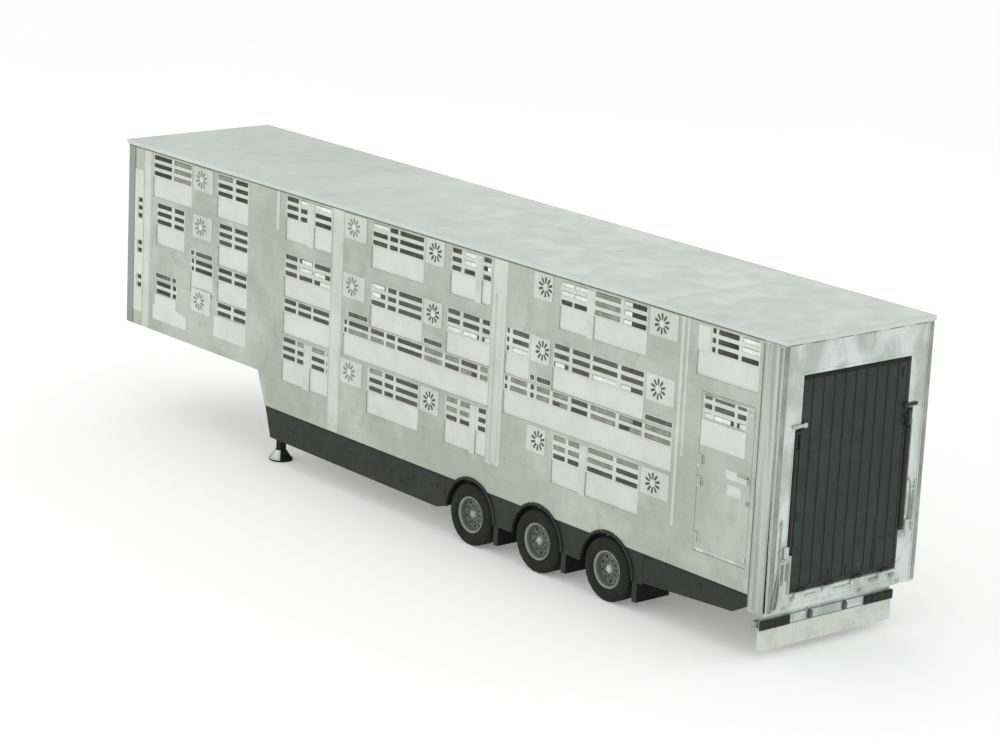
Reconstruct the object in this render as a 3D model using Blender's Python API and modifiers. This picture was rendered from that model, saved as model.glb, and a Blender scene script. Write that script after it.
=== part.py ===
"""A three-axle, step-frame livestock semi-trailer with four decks, a ribbed rear ramp and shuttered vents.

Run it with blender --background --python part.py, or from Blender's text editor.
Metres, +Z up. The origin is on the ground, under the middle of the trailer's outer box.
The gooseneck faces -Y, the ramp is at +Y, and the left side of the trailer is +X.
"""

import math

import bmesh
import bpy
from mathutils import Matrix, Vector

# Outer box
LENGTH = 13.6
WIDTH = 2.55
HEIGHT = 4.0
FRONT = -LENGTH / 2
REAR = LENGTH / 2
GAP = 0.0005  # between pieces that rest on one another

# Body shell
ROOF_EDGE = 0.07
WALL_TOP = HEIGHT - ROOF_EDGE - GAP
WALL_OUTER = 1.255
WALL_SKIN = 0.015
WALL_INNER = WALL_OUTER - WALL_SKIN
WALL_FRONT = -6.57
WALL_REAR = 6.43
NECK_BOTTOM = 1.28
NECK_END = -3.47  # where the neck's underside turns down into the step
BODY_BOTTOM = 0.81
BODY_FRONT = -3.27
SKIRT_FRONT = -3.135
SKIRT_BOTTOM = 0.36
FLOOR_EDGE = WALL_INNER - 0.005

# Wheels and axles
AXLE_MIDDLE = 2.605
AXLE_SPACING = 1.33
AXLES = tuple(AXLE_MIDDLE + AXLE_SPACING * step for step in (-1, 0, 1))
TYRE_RADIUS = 0.416
TYRE_WIDTH = 0.30
WHEEL_X = 1.265 - TYRE_WIDTH / 2
AXLE_Z = TYRE_RADIUS
ARM_LENGTH = 0.50  # from the trailing arm's pivot to the axle
ARM_Z = AXLE_Z + 0.04
ARM_X = (0.412, 0.484)
ARM_OVERHANG = 0.34  # behind the axle, under the air spring
HANGER_X = (0.49, 0.512)
BEAM_X = 0.45
BEAM_HALF_WIDTH = 0.05
BEAM_FRONT = -2.955
BEAM_REAR = 6.50
BEAM_BOTTOM = 0.70
NECK_BEAM_FRONT = -6.50
NECK_BEAM_REAR = -2.81
NECK_BEAM_BOTTOM = 1.27
CROSS_MEMBERS = (-2.60, -1.50, -0.40, 0.45, 5.20, 6.20)  # outriggers behind the step
NECK_CROSS_MEMBERS = (-6.40, -5.70, -4.90, -4.10)
CROSS_MEMBER_WIDTH = 0.07
CROSS_MEMBER_Z = (0.76, 0.93)
FLOOR_BOTTOM = 0.955
FLOOR_TOP = 0.995
FLOOR_REAR = 6.70
ARCH_INNER = 0.475
ARCH_OUTER = 0.508

# Vents: each deck has a shutter parked below its slots, and rises to close them
SHUTTER_OUTER = WALL_INNER - 0.0015
SHUTTER_THICK = 0.012
NECK_EDGE = SHUTTER_OUTER - SHUTTER_THICK - 0.0025  # the neck's floor stops short of the shutters
NECK_RISE = 0.115  # how far a neck shutter sits above its neighbour behind the step
SHUTTER_STEP = (-3.70, -3.00)
SHUTTERS = {
    # deck: (front, rear, bottom, top, rise in the neck)
    1: (-2.94, 4.46, 1.250, 1.580, 0.0),
    2: (-5.17, 4.99, 1.935, 2.250, NECK_RISE),
    3: (-6.05, 4.46, 2.460, 2.757, NECK_RISE),
    4: (-6.15, 6.38, 3.260, 3.580, 0.0),
}
WINDOWS = (
    # (bottom, top, the front and rear of each window)
    (1.255, 1.895, ((-2.91, -1.86), (-0.99, 0.12), (0.67, 1.52), (2.81, 4.43))),
    (1.940, 2.445, ((-2.91, -1.85), (-1.55, 1.52), (1.82, 4.97))),
    (2.465, 3.070, ((-2.91, -1.85), (-0.98, 0.13), (0.63, 1.52), (1.82, 2.29), (2.74, 4.43))),
    (3.265, 3.885, ((-6.13, -5.16), (-4.54, -3.79), (-2.91, -1.87), (-0.99, 0.12))),
    (3.265, 3.885, ((0.67, 1.49), (2.82, 4.42), (5.31, 6.36))),
    (1.855, 2.045, ((-6.51, -6.38), (-6.02, -5.48), (-4.49, -3.77))),
    (2.060, 2.555, ((-5.15, -4.60), (-4.49, -3.77))),
    (2.370, 2.560, ((-6.51, -6.38),)),
    (2.580, 3.190, ((-6.03, -5.32), (-4.49, -3.77))),
    (2.885, 3.190, ((-6.51, -6.38),)),
)
DOOR_VENT = (5.47, 6.22, 2.765, 3.070)  # front, rear, bottom, top
DOOR = (5.44, 6.35, 1.10, 3.09)
DOOR_GAP = 0.006
DOOR_PIVOT_X = WALL_OUTER + 0.0095
DOOR_HINGES = (1.22, 1.92, 2.19)  # the lower end of each hinge
DOOR_HINGE_LENGTH = 0.12
DOOR_LEAF = 0.07
KNUCKLE_RADIUS = 0.008
HANDLE_PIVOT = (6.14, 2.21)
HANDLE_REACH = 6.30

# Rear portal, ramp and struts
PORTAL_FACE = REAR - 0.035
PORTAL_THICK = 0.06
PORTAL_SIDE = 1.27
PORTAL_BOTTOM = 0.64
OPENING_X = 0.915
OPENING_BOTTOM = 0.845
OPENING_TOP = 3.535
POCKET_X = 1.005
POCKET_BOTTOM = 1.33
POCKET_TOP = 2.895
RAMP_X = 0.905
RAMP_BOTTOM = 0.855
RAMP_TOP = 3.525
RAMP_OUTER = PORTAL_FACE - 0.013
RAMP_THICK = 0.05
RAMP_RIBS = 9
HINGE_Y = REAR - 0.018
HINGE_Z = 0.84
HINGE_RADIUS = 0.014
HINGE_HALF = 0.06  # half the length of a ramp knuckle
RAMP_HINGES = (-0.72, -0.24, 0.24, 0.72)
STRUT_X = 0.958
STRUT_Y = REAR - 0.055
STRUT_LOW = 1.40
STRUT_HIGH = 2.84
STRUT_TUBE_TOP = 2.64
STRUT_OUTER = 0.036
STRUT_BORE = 0.022
STRUT_ROD = 0.019
LATCH_Z = 2.93
LATCH_X = 0.86
LATCH_REACH = 0.20

# Decks inside, at the lowest place of their travel: (front, rear, bottom)
DECK_X = 1.19
DECK_THICK = 0.03
DECKS = {
    "deck_2": (-2.74, 6.60, 1.900),
    "deck_3": (-2.74, 6.60, 2.470),
    "deck_4": (-6.60, 6.60, 3.170),
    "neck_deck_2": (-6.60, -2.90, 2.020),
    "neck_deck_3": (-6.60, -2.90, 2.590),
}
NECK_FLOOR_BOTTOM = 1.40
BULKHEAD_Y = -2.78

# Coupling: the standard 2 inch kingpin
KINGPIN_Y = FRONT + 1.6
KINGPIN_RADIUS = 0.0254
KINGPIN_FLANGE_RADIUS = 0.0357
KINGPIN_LENGTH = 0.084
COUPLER_BOTTOM = 1.25

# Landing legs
LEG_X = 1.0
LEG_Y = -3.2
LEG_OUTER = 0.12
LEG_INNER = 0.10
LEG_TUBE_BOTTOM = 0.52
LEG_INNER_TOP = 0.85
FOOT_HEIGHT = 0.14
FOOT_RADIUS = 0.17
FOOT_TOP_RADIUS = 0.078
SOLE_THICK = 0.025

# Skirts and mudguards: the fascia runs past all three wheels, with a skirt ahead of it and one behind
SKIRT_OUTER = 1.25
SKIRT_THICK = 0.015
SKIRT_TOP = BODY_BOTTOM - GAP
FASCIA_FRONT = 0.755
FASCIA_REAR = 4.590
FASCIA_BOTTOM = 0.40
SKIRT_SEAM = 0.005  # half the gap between a skirt and the fascia
ARCH_INNER_X = 0.92
FLAP_X = (0.68, 1.245)
FLAP_BOTTOM = 0.14
FLAP_THICK = 0.012
FLAP_RETURN = 0.082  # length of the lip that turns forward at a flap's outer edge

# Rear lamp bar
LAMP_BAR_X = 1.146
LAMP_BAR_Z = (0.37, 0.48)
LAMP_BAR_Y = (6.45, 6.535)
LAMP_INNER_X = 0.645
LAMP_DEPTH = 0.03
LUG_X = (0.27, 0.33)
FLAP_HANG = 0.09  # the spray flap's lower edge

SIDES = {"left": 1, "right": -1}
COLOURS = {
    # name: (red, green, blue, roughness, metallic)
    "brushed_aluminium": (0.45, 0.47, 0.42, 0.45, 0.7),
    "roof_aluminium": (0.60, 0.65, 0.62, 0.5, 0.3),
    "shutter_panel": (0.63, 0.67, 0.60, 0.5, 0.1),
    "portal_aluminium": (0.52, 0.56, 0.54, 0.35, 0.8),
    "black_plastic": (0.045, 0.047, 0.045, 0.6, 0.0),
    "black_steel": (0.04, 0.042, 0.04, 0.5, 0.3),
    "ramp_black": (0.045, 0.047, 0.05, 0.55, 0.2),
    "tyre_rubber": (0.035, 0.037, 0.035, 0.85, 0.0),
    "rim_steel": (0.18, 0.21, 0.19, 0.4, 0.7),
    "bright_steel": (0.55, 0.57, 0.55, 0.3, 0.9),
    "pale_rubber": (0.46, 0.51, 0.45, 0.6, 0.0),
    "deck_aluminium": (0.40, 0.42, 0.40, 0.5, 0.7),
}

MATERIALS = {}
COLLECTIONS = {}


# ---- scene and materials ----


def clear_scene():
    for obj in list(bpy.data.objects):
        bpy.data.objects.remove(obj, do_unlink=True)


def make_collection(name):
    collection = bpy.data.collections.new(name)
    bpy.context.scene.collection.children.link(collection)
    COLLECTIONS[name] = collection


def make_materials():
    for name, (red, green, blue, roughness, metallic) in COLOURS.items():
        material = bpy.data.materials.new(name)
        material.use_nodes = True
        shader = material.node_tree.nodes["Principled BSDF"]
        shader.inputs["Base Color"].default_value = (red, green, blue, 1.0)
        shader.inputs["Roughness"].default_value = roughness
        shader.inputs["Metallic"].default_value = metallic
        MATERIALS[name] = material


# ---- shapes: each returns an object whose mesh is in world coordinates ----


def place(data):
    obj = bpy.data.objects.new(data.name, data)
    COLLECTIONS["parts"].objects.link(obj)
    return obj


def box(low, high):
    low, high = Vector(low), Vector(high)
    size = high - low
    matrix = Matrix.Translation((low + high) / 2) @ Matrix.Diagonal((*size, 1.0))
    mesh = bpy.data.meshes.new("box")
    builder = bmesh.new()
    bmesh.ops.create_cube(builder, size=1.0, matrix=matrix)
    builder.to_mesh(mesh)
    builder.free()
    return place(mesh)


def cylinder(start, end, radius, segments=16, end_radius=None):
    """A cylinder, or a cone when the end has a radius of its own, along one of the world's axes."""
    start, end = Vector(start), Vector(end)
    along = end - start
    turn = Vector((0, 0, 1)).rotation_difference(along).to_matrix().to_4x4()
    mesh = bpy.data.meshes.new("cylinder")
    builder = bmesh.new()
    bmesh.ops.create_cone(
        builder,
        cap_ends=True,
        segments=segments,
        radius1=radius,
        radius2=radius if end_radius is None else end_radius,
        depth=along.length,
        matrix=Matrix.Translation((start + end) / 2) @ turn,
    )
    builder.to_mesh(mesh)
    builder.free()
    shade_round(mesh)
    return place(mesh)


def shade_round(mesh):
    mesh.shade_smooth()
    mesh.set_sharp_from_angle(angle=math.radians(35))


PLANES = {
    # the world axes that an outline's two numbers and its thickness run along
    "side": Matrix(((0, 0, 1, 0), (1, 0, 0, 0), (0, 1, 0, 0), (0, 0, 0, 1))),
    "rear": Matrix(((1, 0, 0, 0), (0, 0, -1, 0), (0, 1, 0, 0), (0, 0, 0, 1))),
    "plan": Matrix.Identity(4),
}
OFFSETS = {"side": (1, 0, 0), "rear": (0, 1, 0), "plan": (0, 0, 1)}


def plate(plane, outline, low, high, holes=()):
    """A flat outline with holes, as a filled 2D curve, from low to high across its plane."""
    curve = bpy.data.curves.new("plate", "CURVE")
    curve.dimensions = "2D"
    curve.fill_mode = "BOTH"
    curve.extrude = abs(high - low) / 2
    for points in (outline, *holes):
        spline = curve.splines.new("POLY")
        spline.points.add(len(points) - 1)
        for point, (first, second) in zip(spline.points, points):
            point.co = (first, second, 0.0, 1.0)
        spline.use_cyclic_u = True
    obj = place(curve)
    middle = Vector(OFFSETS[plane]) * (low + high) / 2
    obj.matrix_world = Matrix.Translation(middle) @ PLANES[plane]
    return as_mesh(obj)


def as_mesh(obj):
    """The evaluated object as a mesh of its own, in world coordinates. The original is removed."""
    bpy.context.view_layer.update()
    graph = bpy.context.evaluated_depsgraph_get()
    mesh = bpy.data.meshes.new_from_object(obj.evaluated_get(graph))
    mesh.transform(obj.matrix_world)
    builder = bmesh.new()
    builder.from_mesh(mesh)
    bmesh.ops.remove_doubles(builder, verts=builder.verts, dist=0.00001)
    bmesh.ops.recalc_face_normals(builder, faces=builder.faces)
    builder.to_mesh(mesh)
    builder.free()
    bpy.data.objects.remove(obj, do_unlink=True)
    return place(mesh)


def rectangle(first_low, first_high, second_low, second_high):
    return (
        (first_low, second_low),
        (first_high, second_low),
        (first_high, second_high),
        (first_low, second_high),
    )


def arc(centre, radius, start, end, count):
    """Points on an arc, from start to end in degrees."""
    angles = [math.radians(start + (end - start) * i / (count - 1)) for i in range(count)]
    return [(centre[0] + radius * math.cos(a), centre[1] + radius * math.sin(a)) for a in angles]


def turned(profile, centre, steps, closed):
    """A profile of (radius, distance along the axis) turned about the world's X axis through centre."""
    mesh = bpy.data.meshes.new("turned")
    count = len(profile)
    edges = [(i, i + 1) for i in range(count - 1)] + ([(count - 1, 0)] if closed else [])
    mesh.from_pydata([(radius, 0.0, along) for radius, along in profile], edges, [])
    obj = place(mesh)
    obj.rotation_euler = (0.0, math.radians(90), 0.0)
    obj.location = centre
    screw = obj.modifiers.new("turn", "SCREW")
    screw.axis = "Z"
    screw.steps = steps
    screw.render_steps = steps
    screw.use_merge_vertices = True
    screw.merge_threshold = 0.00001
    return as_mesh(obj)


# ---- joining and finishing ----


def join(base, *others):
    """Unites the other shapes with the base. They stay in the scene as hidden tools."""
    for other in others:
        COLLECTIONS["parts"].objects.unlink(other)
        COLLECTIONS["tools"].objects.link(other)
        other.name = "tool"
        other.hide_render = True
        other.display_type = "WIRE"
        modifier = base.modifiers.new("join", "BOOLEAN")
        modifier.operation = "UNION"
        modifier.object = other
    return base


def finish(obj, name, material, origin=None, parent=None):
    """Names the object, gives it its material, and moves its origin to its joint's axis."""
    obj.name = name
    obj.data.name = name
    obj.data.materials.clear()
    obj.data.materials.append(MATERIALS[material])
    if origin is not None:
        for piece in (obj, *[m.object for m in obj.modifiers if m.type == "BOOLEAN"]):
            piece.data.transform(Matrix.Translation(-Vector(origin)))
            piece.location = origin
    if parent is not None:
        obj.parent = parent
        obj.matrix_parent_inverse = parent.matrix_world.inverted()
    return obj


def bevel(obj, width, segments=2):
    modifier = obj.modifiers.new("edges", "BEVEL")
    modifier.width = width
    modifier.segments = segments
    modifier.limit_method = "ANGLE"
    return obj


def pivot(name, location):
    """An empty on a joint's axis, for the pieces that turn about it."""
    empty = bpy.data.objects.new(name, None)
    COLLECTIONS["parts"].objects.link(empty)
    empty.location = location
    bpy.context.view_layer.update()
    return empty


# ---- body shell ----


def make_roof():
    roof = box((-WIDTH / 2, FRONT, HEIGHT - ROOF_EDGE), (WIDTH / 2, REAR, HEIGHT))
    finish(bevel(roof, 0.018), "roof", "roof_aluminium")


def wall_outline():
    """The side wall's edge: the neck, the slanted step, and an arch over each wheel."""
    clear = ARCH_OUTER + 0.0035
    lift = math.degrees(math.asin((BODY_BOTTOM - AXLE_Z) / clear))
    points = [(WALL_FRONT, NECK_BOTTOM), (NECK_END, NECK_BOTTOM), (BODY_FRONT, BODY_BOTTOM)]
    for axle_y in AXLES:
        points += arc((axle_y, AXLE_Z), clear, 180 - lift, lift, 9)
    points += [(WALL_REAR, BODY_BOTTOM), (WALL_REAR, WALL_TOP), (WALL_FRONT, WALL_TOP)]
    return points


def make_walls():
    windows = [
        rectangle(front, rear, bottom, top)
        for bottom, top, spans in WINDOWS
        for front, rear in spans
    ]
    openings = {"left": rectangle(*DOOR), "right": rectangle(*DOOR_VENT)}
    for side, sign in SIDES.items():
        wall = plate(
            "side", wall_outline(), sign * WALL_INNER, sign * WALL_OUTER, [*windows, openings[side]]
        )
        finish(wall, f"{side}_wall", "brushed_aluminium")


def make_front_wall():
    """A U in plan: the front sheet and a rounded corner post at each end."""
    corner, depth = 0.05, WALL_SKIN
    front, back = FRONT + 0.01, WALL_FRONT - 0.002
    side = WALL_OUTER
    outer = [(side, back)]
    outer += arc((side - corner, front + corner), corner, 0, -90, 5)
    outer += arc((-side + corner, front + corner), corner, -90, -180, 5)
    outer += [(-side, back), (-side + depth, back)]
    inner = [(-side + depth, front + depth), (side - depth, front + depth), (side - depth, back)]
    wall = plate("plan", outer + inner, NECK_BOTTOM, WALL_TOP)
    finish(wall, "front_wall", "brushed_aluminium")


def make_shutters():
    """One sheet a deck and side, behind the wall's skin. It steps up where the neck begins."""
    high_end, low_end = SHUTTER_STEP
    for deck, (front, rear, bottom, top, rise) in SHUTTERS.items():
        if rise:
            outline = [(front, bottom + rise), (high_end, bottom + rise), (low_end, bottom)]
            outline += [(rear, bottom), (rear, top)]
            outline += [(low_end, top), (high_end, top + rise), (front, top + rise)]
        else:
            outline = rectangle(front, rear, bottom, top)
        for side, sign in SIDES.items():
            inner = sign * (SHUTTER_OUTER - SHUTTER_THICK)
            shutter = plate("side", outline, inner, sign * SHUTTER_OUTER)
            origin = (sign * SHUTTER_OUTER, front, bottom)
            finish(shutter, f"{side}_shutter_{deck}", "shutter_panel", origin)


def make_side_door():
    front, rear, bottom, top = DOOR
    outline = rectangle(front + DOOR_GAP, rear - DOOR_GAP, bottom + DOOR_GAP, top - DOOR_GAP)
    axis = pivot("side_door_axis", (DOOR_PIVOT_X, front, bottom))
    door = plate("side", outline, WALL_INNER, WALL_OUTER, [rectangle(*DOOR_VENT)])
    leaves, knuckles = [], []
    knuckle_y = front + 0.002
    for low in DOOR_HINGES:
        high = low + DOOR_HINGE_LENGTH
        leaf_low = (WALL_OUTER - 0.004, front + KNUCKLE_RADIUS, low)
        leaves.append(box(leaf_low, (DOOR_PIVOT_X + 0.003, front + DOOR_LEAF, high)))
        start, end = (DOOR_PIVOT_X, knuckle_y, low), (DOOR_PIVOT_X, knuckle_y, high)
        knuckles.append(cylinder(start, end, KNUCKLE_RADIUS, 8))
    join(door, *leaves, *knuckles)
    finish(door, "side_door", "brushed_aluminium", (DOOR_PIVOT_X, front, bottom), axis)
    make_door_handle(axis)


def make_door_handle(axis):
    """A round boss on the door's face, and the grip that turns with it."""
    y, z = HANDLE_PIVOT
    face, half_grip = WALL_OUTER + 0.001, 0.015
    boss = cylinder((face, y, z), (face + 0.012, y, z), 0.022, 12)
    grip_low = (face + 0.006, y - half_grip, z - half_grip)
    grip = box(grip_low, (face + 0.018, HANDLE_REACH, z + half_grip))
    finish(join(boss, grip), "side_door_handle", "bright_steel", (face, y, z), axis)


# ---- floors, decks and chassis ----


def make_floors():
    """The lower floor, and the neck's floor with the bulkhead that closes the step below it."""
    bulkhead_front = BULKHEAD_Y - 0.02
    lower = box((-FLOOR_EDGE, bulkhead_front, FLOOR_BOTTOM), (FLOOR_EDGE, FLOOR_REAR, FLOOR_TOP))
    finish(lower, "lower_floor", "deck_aluminium")
    neck_low = (-NECK_EDGE, FRONT + 0.05, NECK_FLOOR_BOTTOM)
    neck = box(neck_low, (NECK_EDGE, BULKHEAD_Y, NECK_FLOOR_BOTTOM + 0.04))
    bulkhead_low = (-NECK_EDGE, bulkhead_front, FLOOR_TOP + GAP)
    bulkhead = box(bulkhead_low, (NECK_EDGE, BULKHEAD_Y + 0.01, NECK_FLOOR_BOTTOM + 0.02))
    finish(join(neck, bulkhead), "neck_floor", "deck_aluminium")


def make_decks():
    for name, (front, rear, bottom) in DECKS.items():
        deck = box((-DECK_X, front, bottom), (DECK_X, rear, bottom + DECK_THICK))
        finish(deck, name, "deck_aluminium", (0.0, (front + rear) / 2, bottom))


def beam_sides(sign):
    return sign * BEAM_X - BEAM_HALF_WIDTH, sign * BEAM_X + BEAM_HALF_WIDTH


def main_beams():
    shapes = []
    for sign in SIDES.values():
        inner, outer = beam_sides(sign)
        shapes.append(box((inner, BEAM_FRONT, BEAM_BOTTOM), (outer, BEAM_REAR, FLOOR_BOTTOM - GAP)))
    return shapes


def cross_members():
    """Outriggers to the walls, and short members between the wheels."""
    low, high = CROSS_MEMBER_Z
    half = WALL_INNER - 0.006
    shapes = []
    for y in CROSS_MEMBERS:
        shapes.append(box((-half, y, low), (half, y + CROSS_MEMBER_WIDTH, high)))
    for ahead, behind in zip(AXLES, AXLES[1:]):
        y = (ahead + behind) / 2
        shapes.append(box((-BEAM_X, y, low), (BEAM_X, y + CROSS_MEMBER_WIDTH, high)))
    return shapes


def neck_beams():
    """The neck's two beams, each with the riser that stands on the main beam below."""
    shapes = []
    top, inset = NECK_FLOOR_BOTTOM - GAP, 0.005
    for sign in SIDES.values():
        inner, outer = beam_sides(sign)
        low = (inner, NECK_BEAM_FRONT, NECK_BEAM_BOTTOM)
        shapes.append(box(low, (outer, NECK_BEAM_REAR, top)))
        riser_low = (inner + inset, BEAM_FRONT + inset, FLOOR_BOTTOM)
        shapes.append(box(riser_low, (outer - inset, NECK_BEAM_REAR - inset, top - inset)))
    return shapes


def neck_cross_members():
    """The neck's cross members, and the beam that the landing legs hang from."""
    low, high = NECK_BOTTOM + 0.01, NECK_FLOOR_BOTTOM - 0.02
    half = FLOOR_EDGE - 0.01
    shapes = []
    for y in NECK_CROSS_MEMBERS:
        shapes.append(box((-half, y, low), (half, y + CROSS_MEMBER_WIDTH, high)))
    reach, half_width = LEG_X + 0.07, 0.08
    leg_beam_low = (-reach, LEG_Y - half_width, NECK_BOTTOM)
    shapes.append(box(leg_beam_low, (reach, LEG_Y + half_width, high + 0.005)))
    return shapes


def arm_hangers():
    """A plate beside each trailing arm's front end, down from the beam to the arm's pivot."""
    shapes = []
    half_width, below, top = 0.07, 0.06, BEAM_BOTTOM + 0.10
    for axle_y in AXLES:
        for sign in SIDES.values():
            inner, outer = sorted((sign * HANGER_X[0], sign * HANGER_X[1]))
            y = axle_y - ARM_LENGTH
            hanger_low = (inner, y - half_width, ARM_Z - below)
            shapes.append(box(hanger_low, (outer, y + half_width, top)))
    return shapes


def coupler():
    """The plate that rides on the tractor's fifth wheel, with its kingpin."""
    half_width, ahead, behind = 0.60, 0.6, 0.8
    low = (-half_width, KINGPIN_Y - ahead, COUPLER_BOTTOM)
    rubbing_plate = box(low, (half_width, KINGPIN_Y + behind, NECK_BEAM_BOTTOM + 0.01))
    pin_bottom = COUPLER_BOTTOM - KINGPIN_LENGTH
    foot = (0, KINGPIN_Y, pin_bottom)
    shank = cylinder(foot, (0, KINGPIN_Y, COUPLER_BOTTOM + 0.01), KINGPIN_RADIUS)
    flange = cylinder(foot, (0, KINGPIN_Y, pin_bottom + 0.016), KINGPIN_FLANGE_RADIUS)
    return [rubbing_plate, shank, flange]


def make_frames():
    """The main frame, and the neck's frame that is welded up with its coupler and stands on it."""
    base, *others = main_beams() + cross_members() + arm_hangers()
    finish(join(base, *others), "chassis_frame", "black_steel")
    base, *others = neck_beams() + neck_cross_members() + coupler()
    finish(join(base, *others), "neck_frame", "black_steel")


# ---- running gear ----


def tyre_profile():
    """A closed loop, down the outer side first: tread, sidewall, bead."""
    shoulder, widest = 0.385, 0.300
    half_width = TYRE_WIDTH / 2
    half = [(TYRE_RADIUS, 0.105), (shoulder, half_width - 0.005), (widest, half_width), (0.228, 0.100)]
    return half + [(radius, -along) for radius, along in reversed(half)]


def rim_profile():
    """Hub cap, disc, outer lip, barrel and hub, from the axis out and back to the axis."""
    return [
        (0.0, 0.090),
        (0.060, 0.086),
        (0.066, 0.040),
        (0.205, 0.040),
        (0.218, 0.120),
        (0.244, 0.126),
        (0.244, 0.113),
        (0.2275, 0.101),
        (0.2275, -0.100),
        (0.212, -0.100),
        (0.202, 0.016),
        (0.054, 0.010),
        (0.054, 0.052),
        (0.0, 0.052),
    ]


def make_wheels():
    for number, axle_y in enumerate(AXLES, start=1):
        for side, sign in SIDES.items():
            centre = (sign * WHEEL_X, axle_y, AXLE_Z)
            axis = pivot(f"{side}_wheel_{number}_axis", centre)
            tyre = turned([(r, sign * t) for r, t in tyre_profile()], centre, 24, True)
            finish(tyre, f"{side}_tyre_{number}", "tyre_rubber", centre, axis)
            rim = turned([(r, sign * t) for r, t in rim_profile()], centre, 24, False)
            finish(rim, f"{side}_rim_{number}", "rim_steel", centre, axis)
            for piece in (tyre, rim):
                shade_round(piece.data)


def axle_profile():
    """The stub, the brake drum and the beam, from one end of the axle to the other."""
    stub, drum, beam = 0.048, 0.170, 0.060
    tip, drum_face, drum_back = WHEEL_X + 0.035, WHEEL_X - 0.105, WHEEL_X - 0.180
    half = [(0.0, tip), (stub, tip), (stub, drum_face + 0.008), (drum, drum_face)]
    half += [(drum, drum_back), (beam, drum_back - 0.015)]
    return half + [(radius, -along) for radius, along in reversed(half)]


def make_axles():
    """A beam with its stub ends and brake drums, clamped to two trailing arms."""
    half_height = 0.03
    for number, axle_y in enumerate(AXLES, start=1):
        arm_pivot = (0.0, axle_y - ARM_LENGTH, ARM_Z)
        beam = turned(axle_profile(), (0.0, axle_y, AXLE_Z), 16, False)
        arms = []
        for sign in SIDES.values():
            inner, outer = sorted((sign * ARM_X[0], sign * ARM_X[1]))
            low = (inner, axle_y - ARM_LENGTH - 0.04, ARM_Z - half_height)
            arms.append(box(low, (outer, axle_y + ARM_OVERHANG, ARM_Z + half_height)))
        join(beam, *arms)
        finish(beam, f"axle_{number}", "black_steel", arm_pivot)


def make_landing_legs():
    half, bore = LEG_OUTER / 2, LEG_OUTER / 2 - 0.008
    for side, sign in SIDES.items():
        x = sign * LEG_X
        tube = plate(
            "plan",
            rectangle(x - half, x + half, LEG_Y - half, LEG_Y + half),
            LEG_TUBE_BOTTOM,
            NECK_BOTTOM - GAP,
            [rectangle(x - bore, x + bore, LEG_Y - bore, LEG_Y + bore)],
        )
        finish(tube, f"{side}_leg_tube", "black_steel")
        inner = LEG_INNER / 2
        leg_low = (x - inner, LEG_Y - inner, FOOT_HEIGHT - 0.04)
        leg = box(leg_low, (x + inner, LEG_Y + inner, LEG_INNER_TOP))
        sole = cylinder((x, LEG_Y, 0), (x, LEG_Y, SOLE_THICK), FOOT_RADIUS)
        start, end = (x, LEG_Y, SOLE_THICK / 2), (x, LEG_Y, FOOT_HEIGHT)
        cone = cylinder(start, end, FOOT_RADIUS - 0.006, 16, FOOT_TOP_RADIUS)
        join(leg, cone, sole)
        finish(leg, f"{side}_leg_foot", "black_steel", (x, LEG_Y, FOOT_HEIGHT))


# ---- skirts and mudguards ----


def make_skirts():
    ahead = [
        (BODY_FRONT, SKIRT_TOP),
        (SKIRT_FRONT, SKIRT_BOTTOM + 0.015),
        (FASCIA_FRONT - 0.17, SKIRT_BOTTOM - 0.015),
        (FASCIA_FRONT - SKIRT_SEAM, FASCIA_BOTTOM),
        (FASCIA_FRONT - SKIRT_SEAM, SKIRT_TOP),
    ]
    behind = [
        (FASCIA_REAR + SKIRT_SEAM, SKIRT_TOP),
        (FASCIA_REAR + SKIRT_SEAM, 0.43),
        (6.17, 0.525),
        (6.42, 0.655),
        (6.42, SKIRT_TOP),
    ]
    for side, sign in SIDES.items():
        inner, outer = sign * (SKIRT_OUTER - SKIRT_THICK), sign * SKIRT_OUTER
        finish(plate("side", ahead, inner, outer), f"{side}_front_skirt", "black_plastic")
        finish(plate("side", behind, inner, outer), f"{side}_rear_skirt", "black_plastic")


def fascia_panels(inner, outer):
    """The flat panels ahead of, between and behind the wheels, cut round to fit the arches."""
    radius = (ARCH_INNER + ARCH_OUTER) / 2
    high = math.degrees(math.asin((SKIRT_TOP - AXLE_Z) / radius))
    low = math.degrees(math.asin((FASCIA_BOTTOM - AXLE_Z) / radius))
    panels = []
    starts = [[(FASCIA_FRONT, SKIRT_TOP), (FASCIA_FRONT, FASCIA_BOTTOM)]]
    starts += [arc((axle_y, AXLE_Z), radius, high, low, 7) for axle_y in AXLES]
    ends = [arc((axle_y, AXLE_Z), radius, 180 - low, 180 - high, 7) for axle_y in AXLES]
    ends += [[(FASCIA_REAR, FASCIA_BOTTOM), (FASCIA_REAR, SKIRT_TOP)]]
    for start, end in zip(starts, ends):
        panels.append(plate("side", [*start, *end], inner, outer))
    return panels


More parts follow.
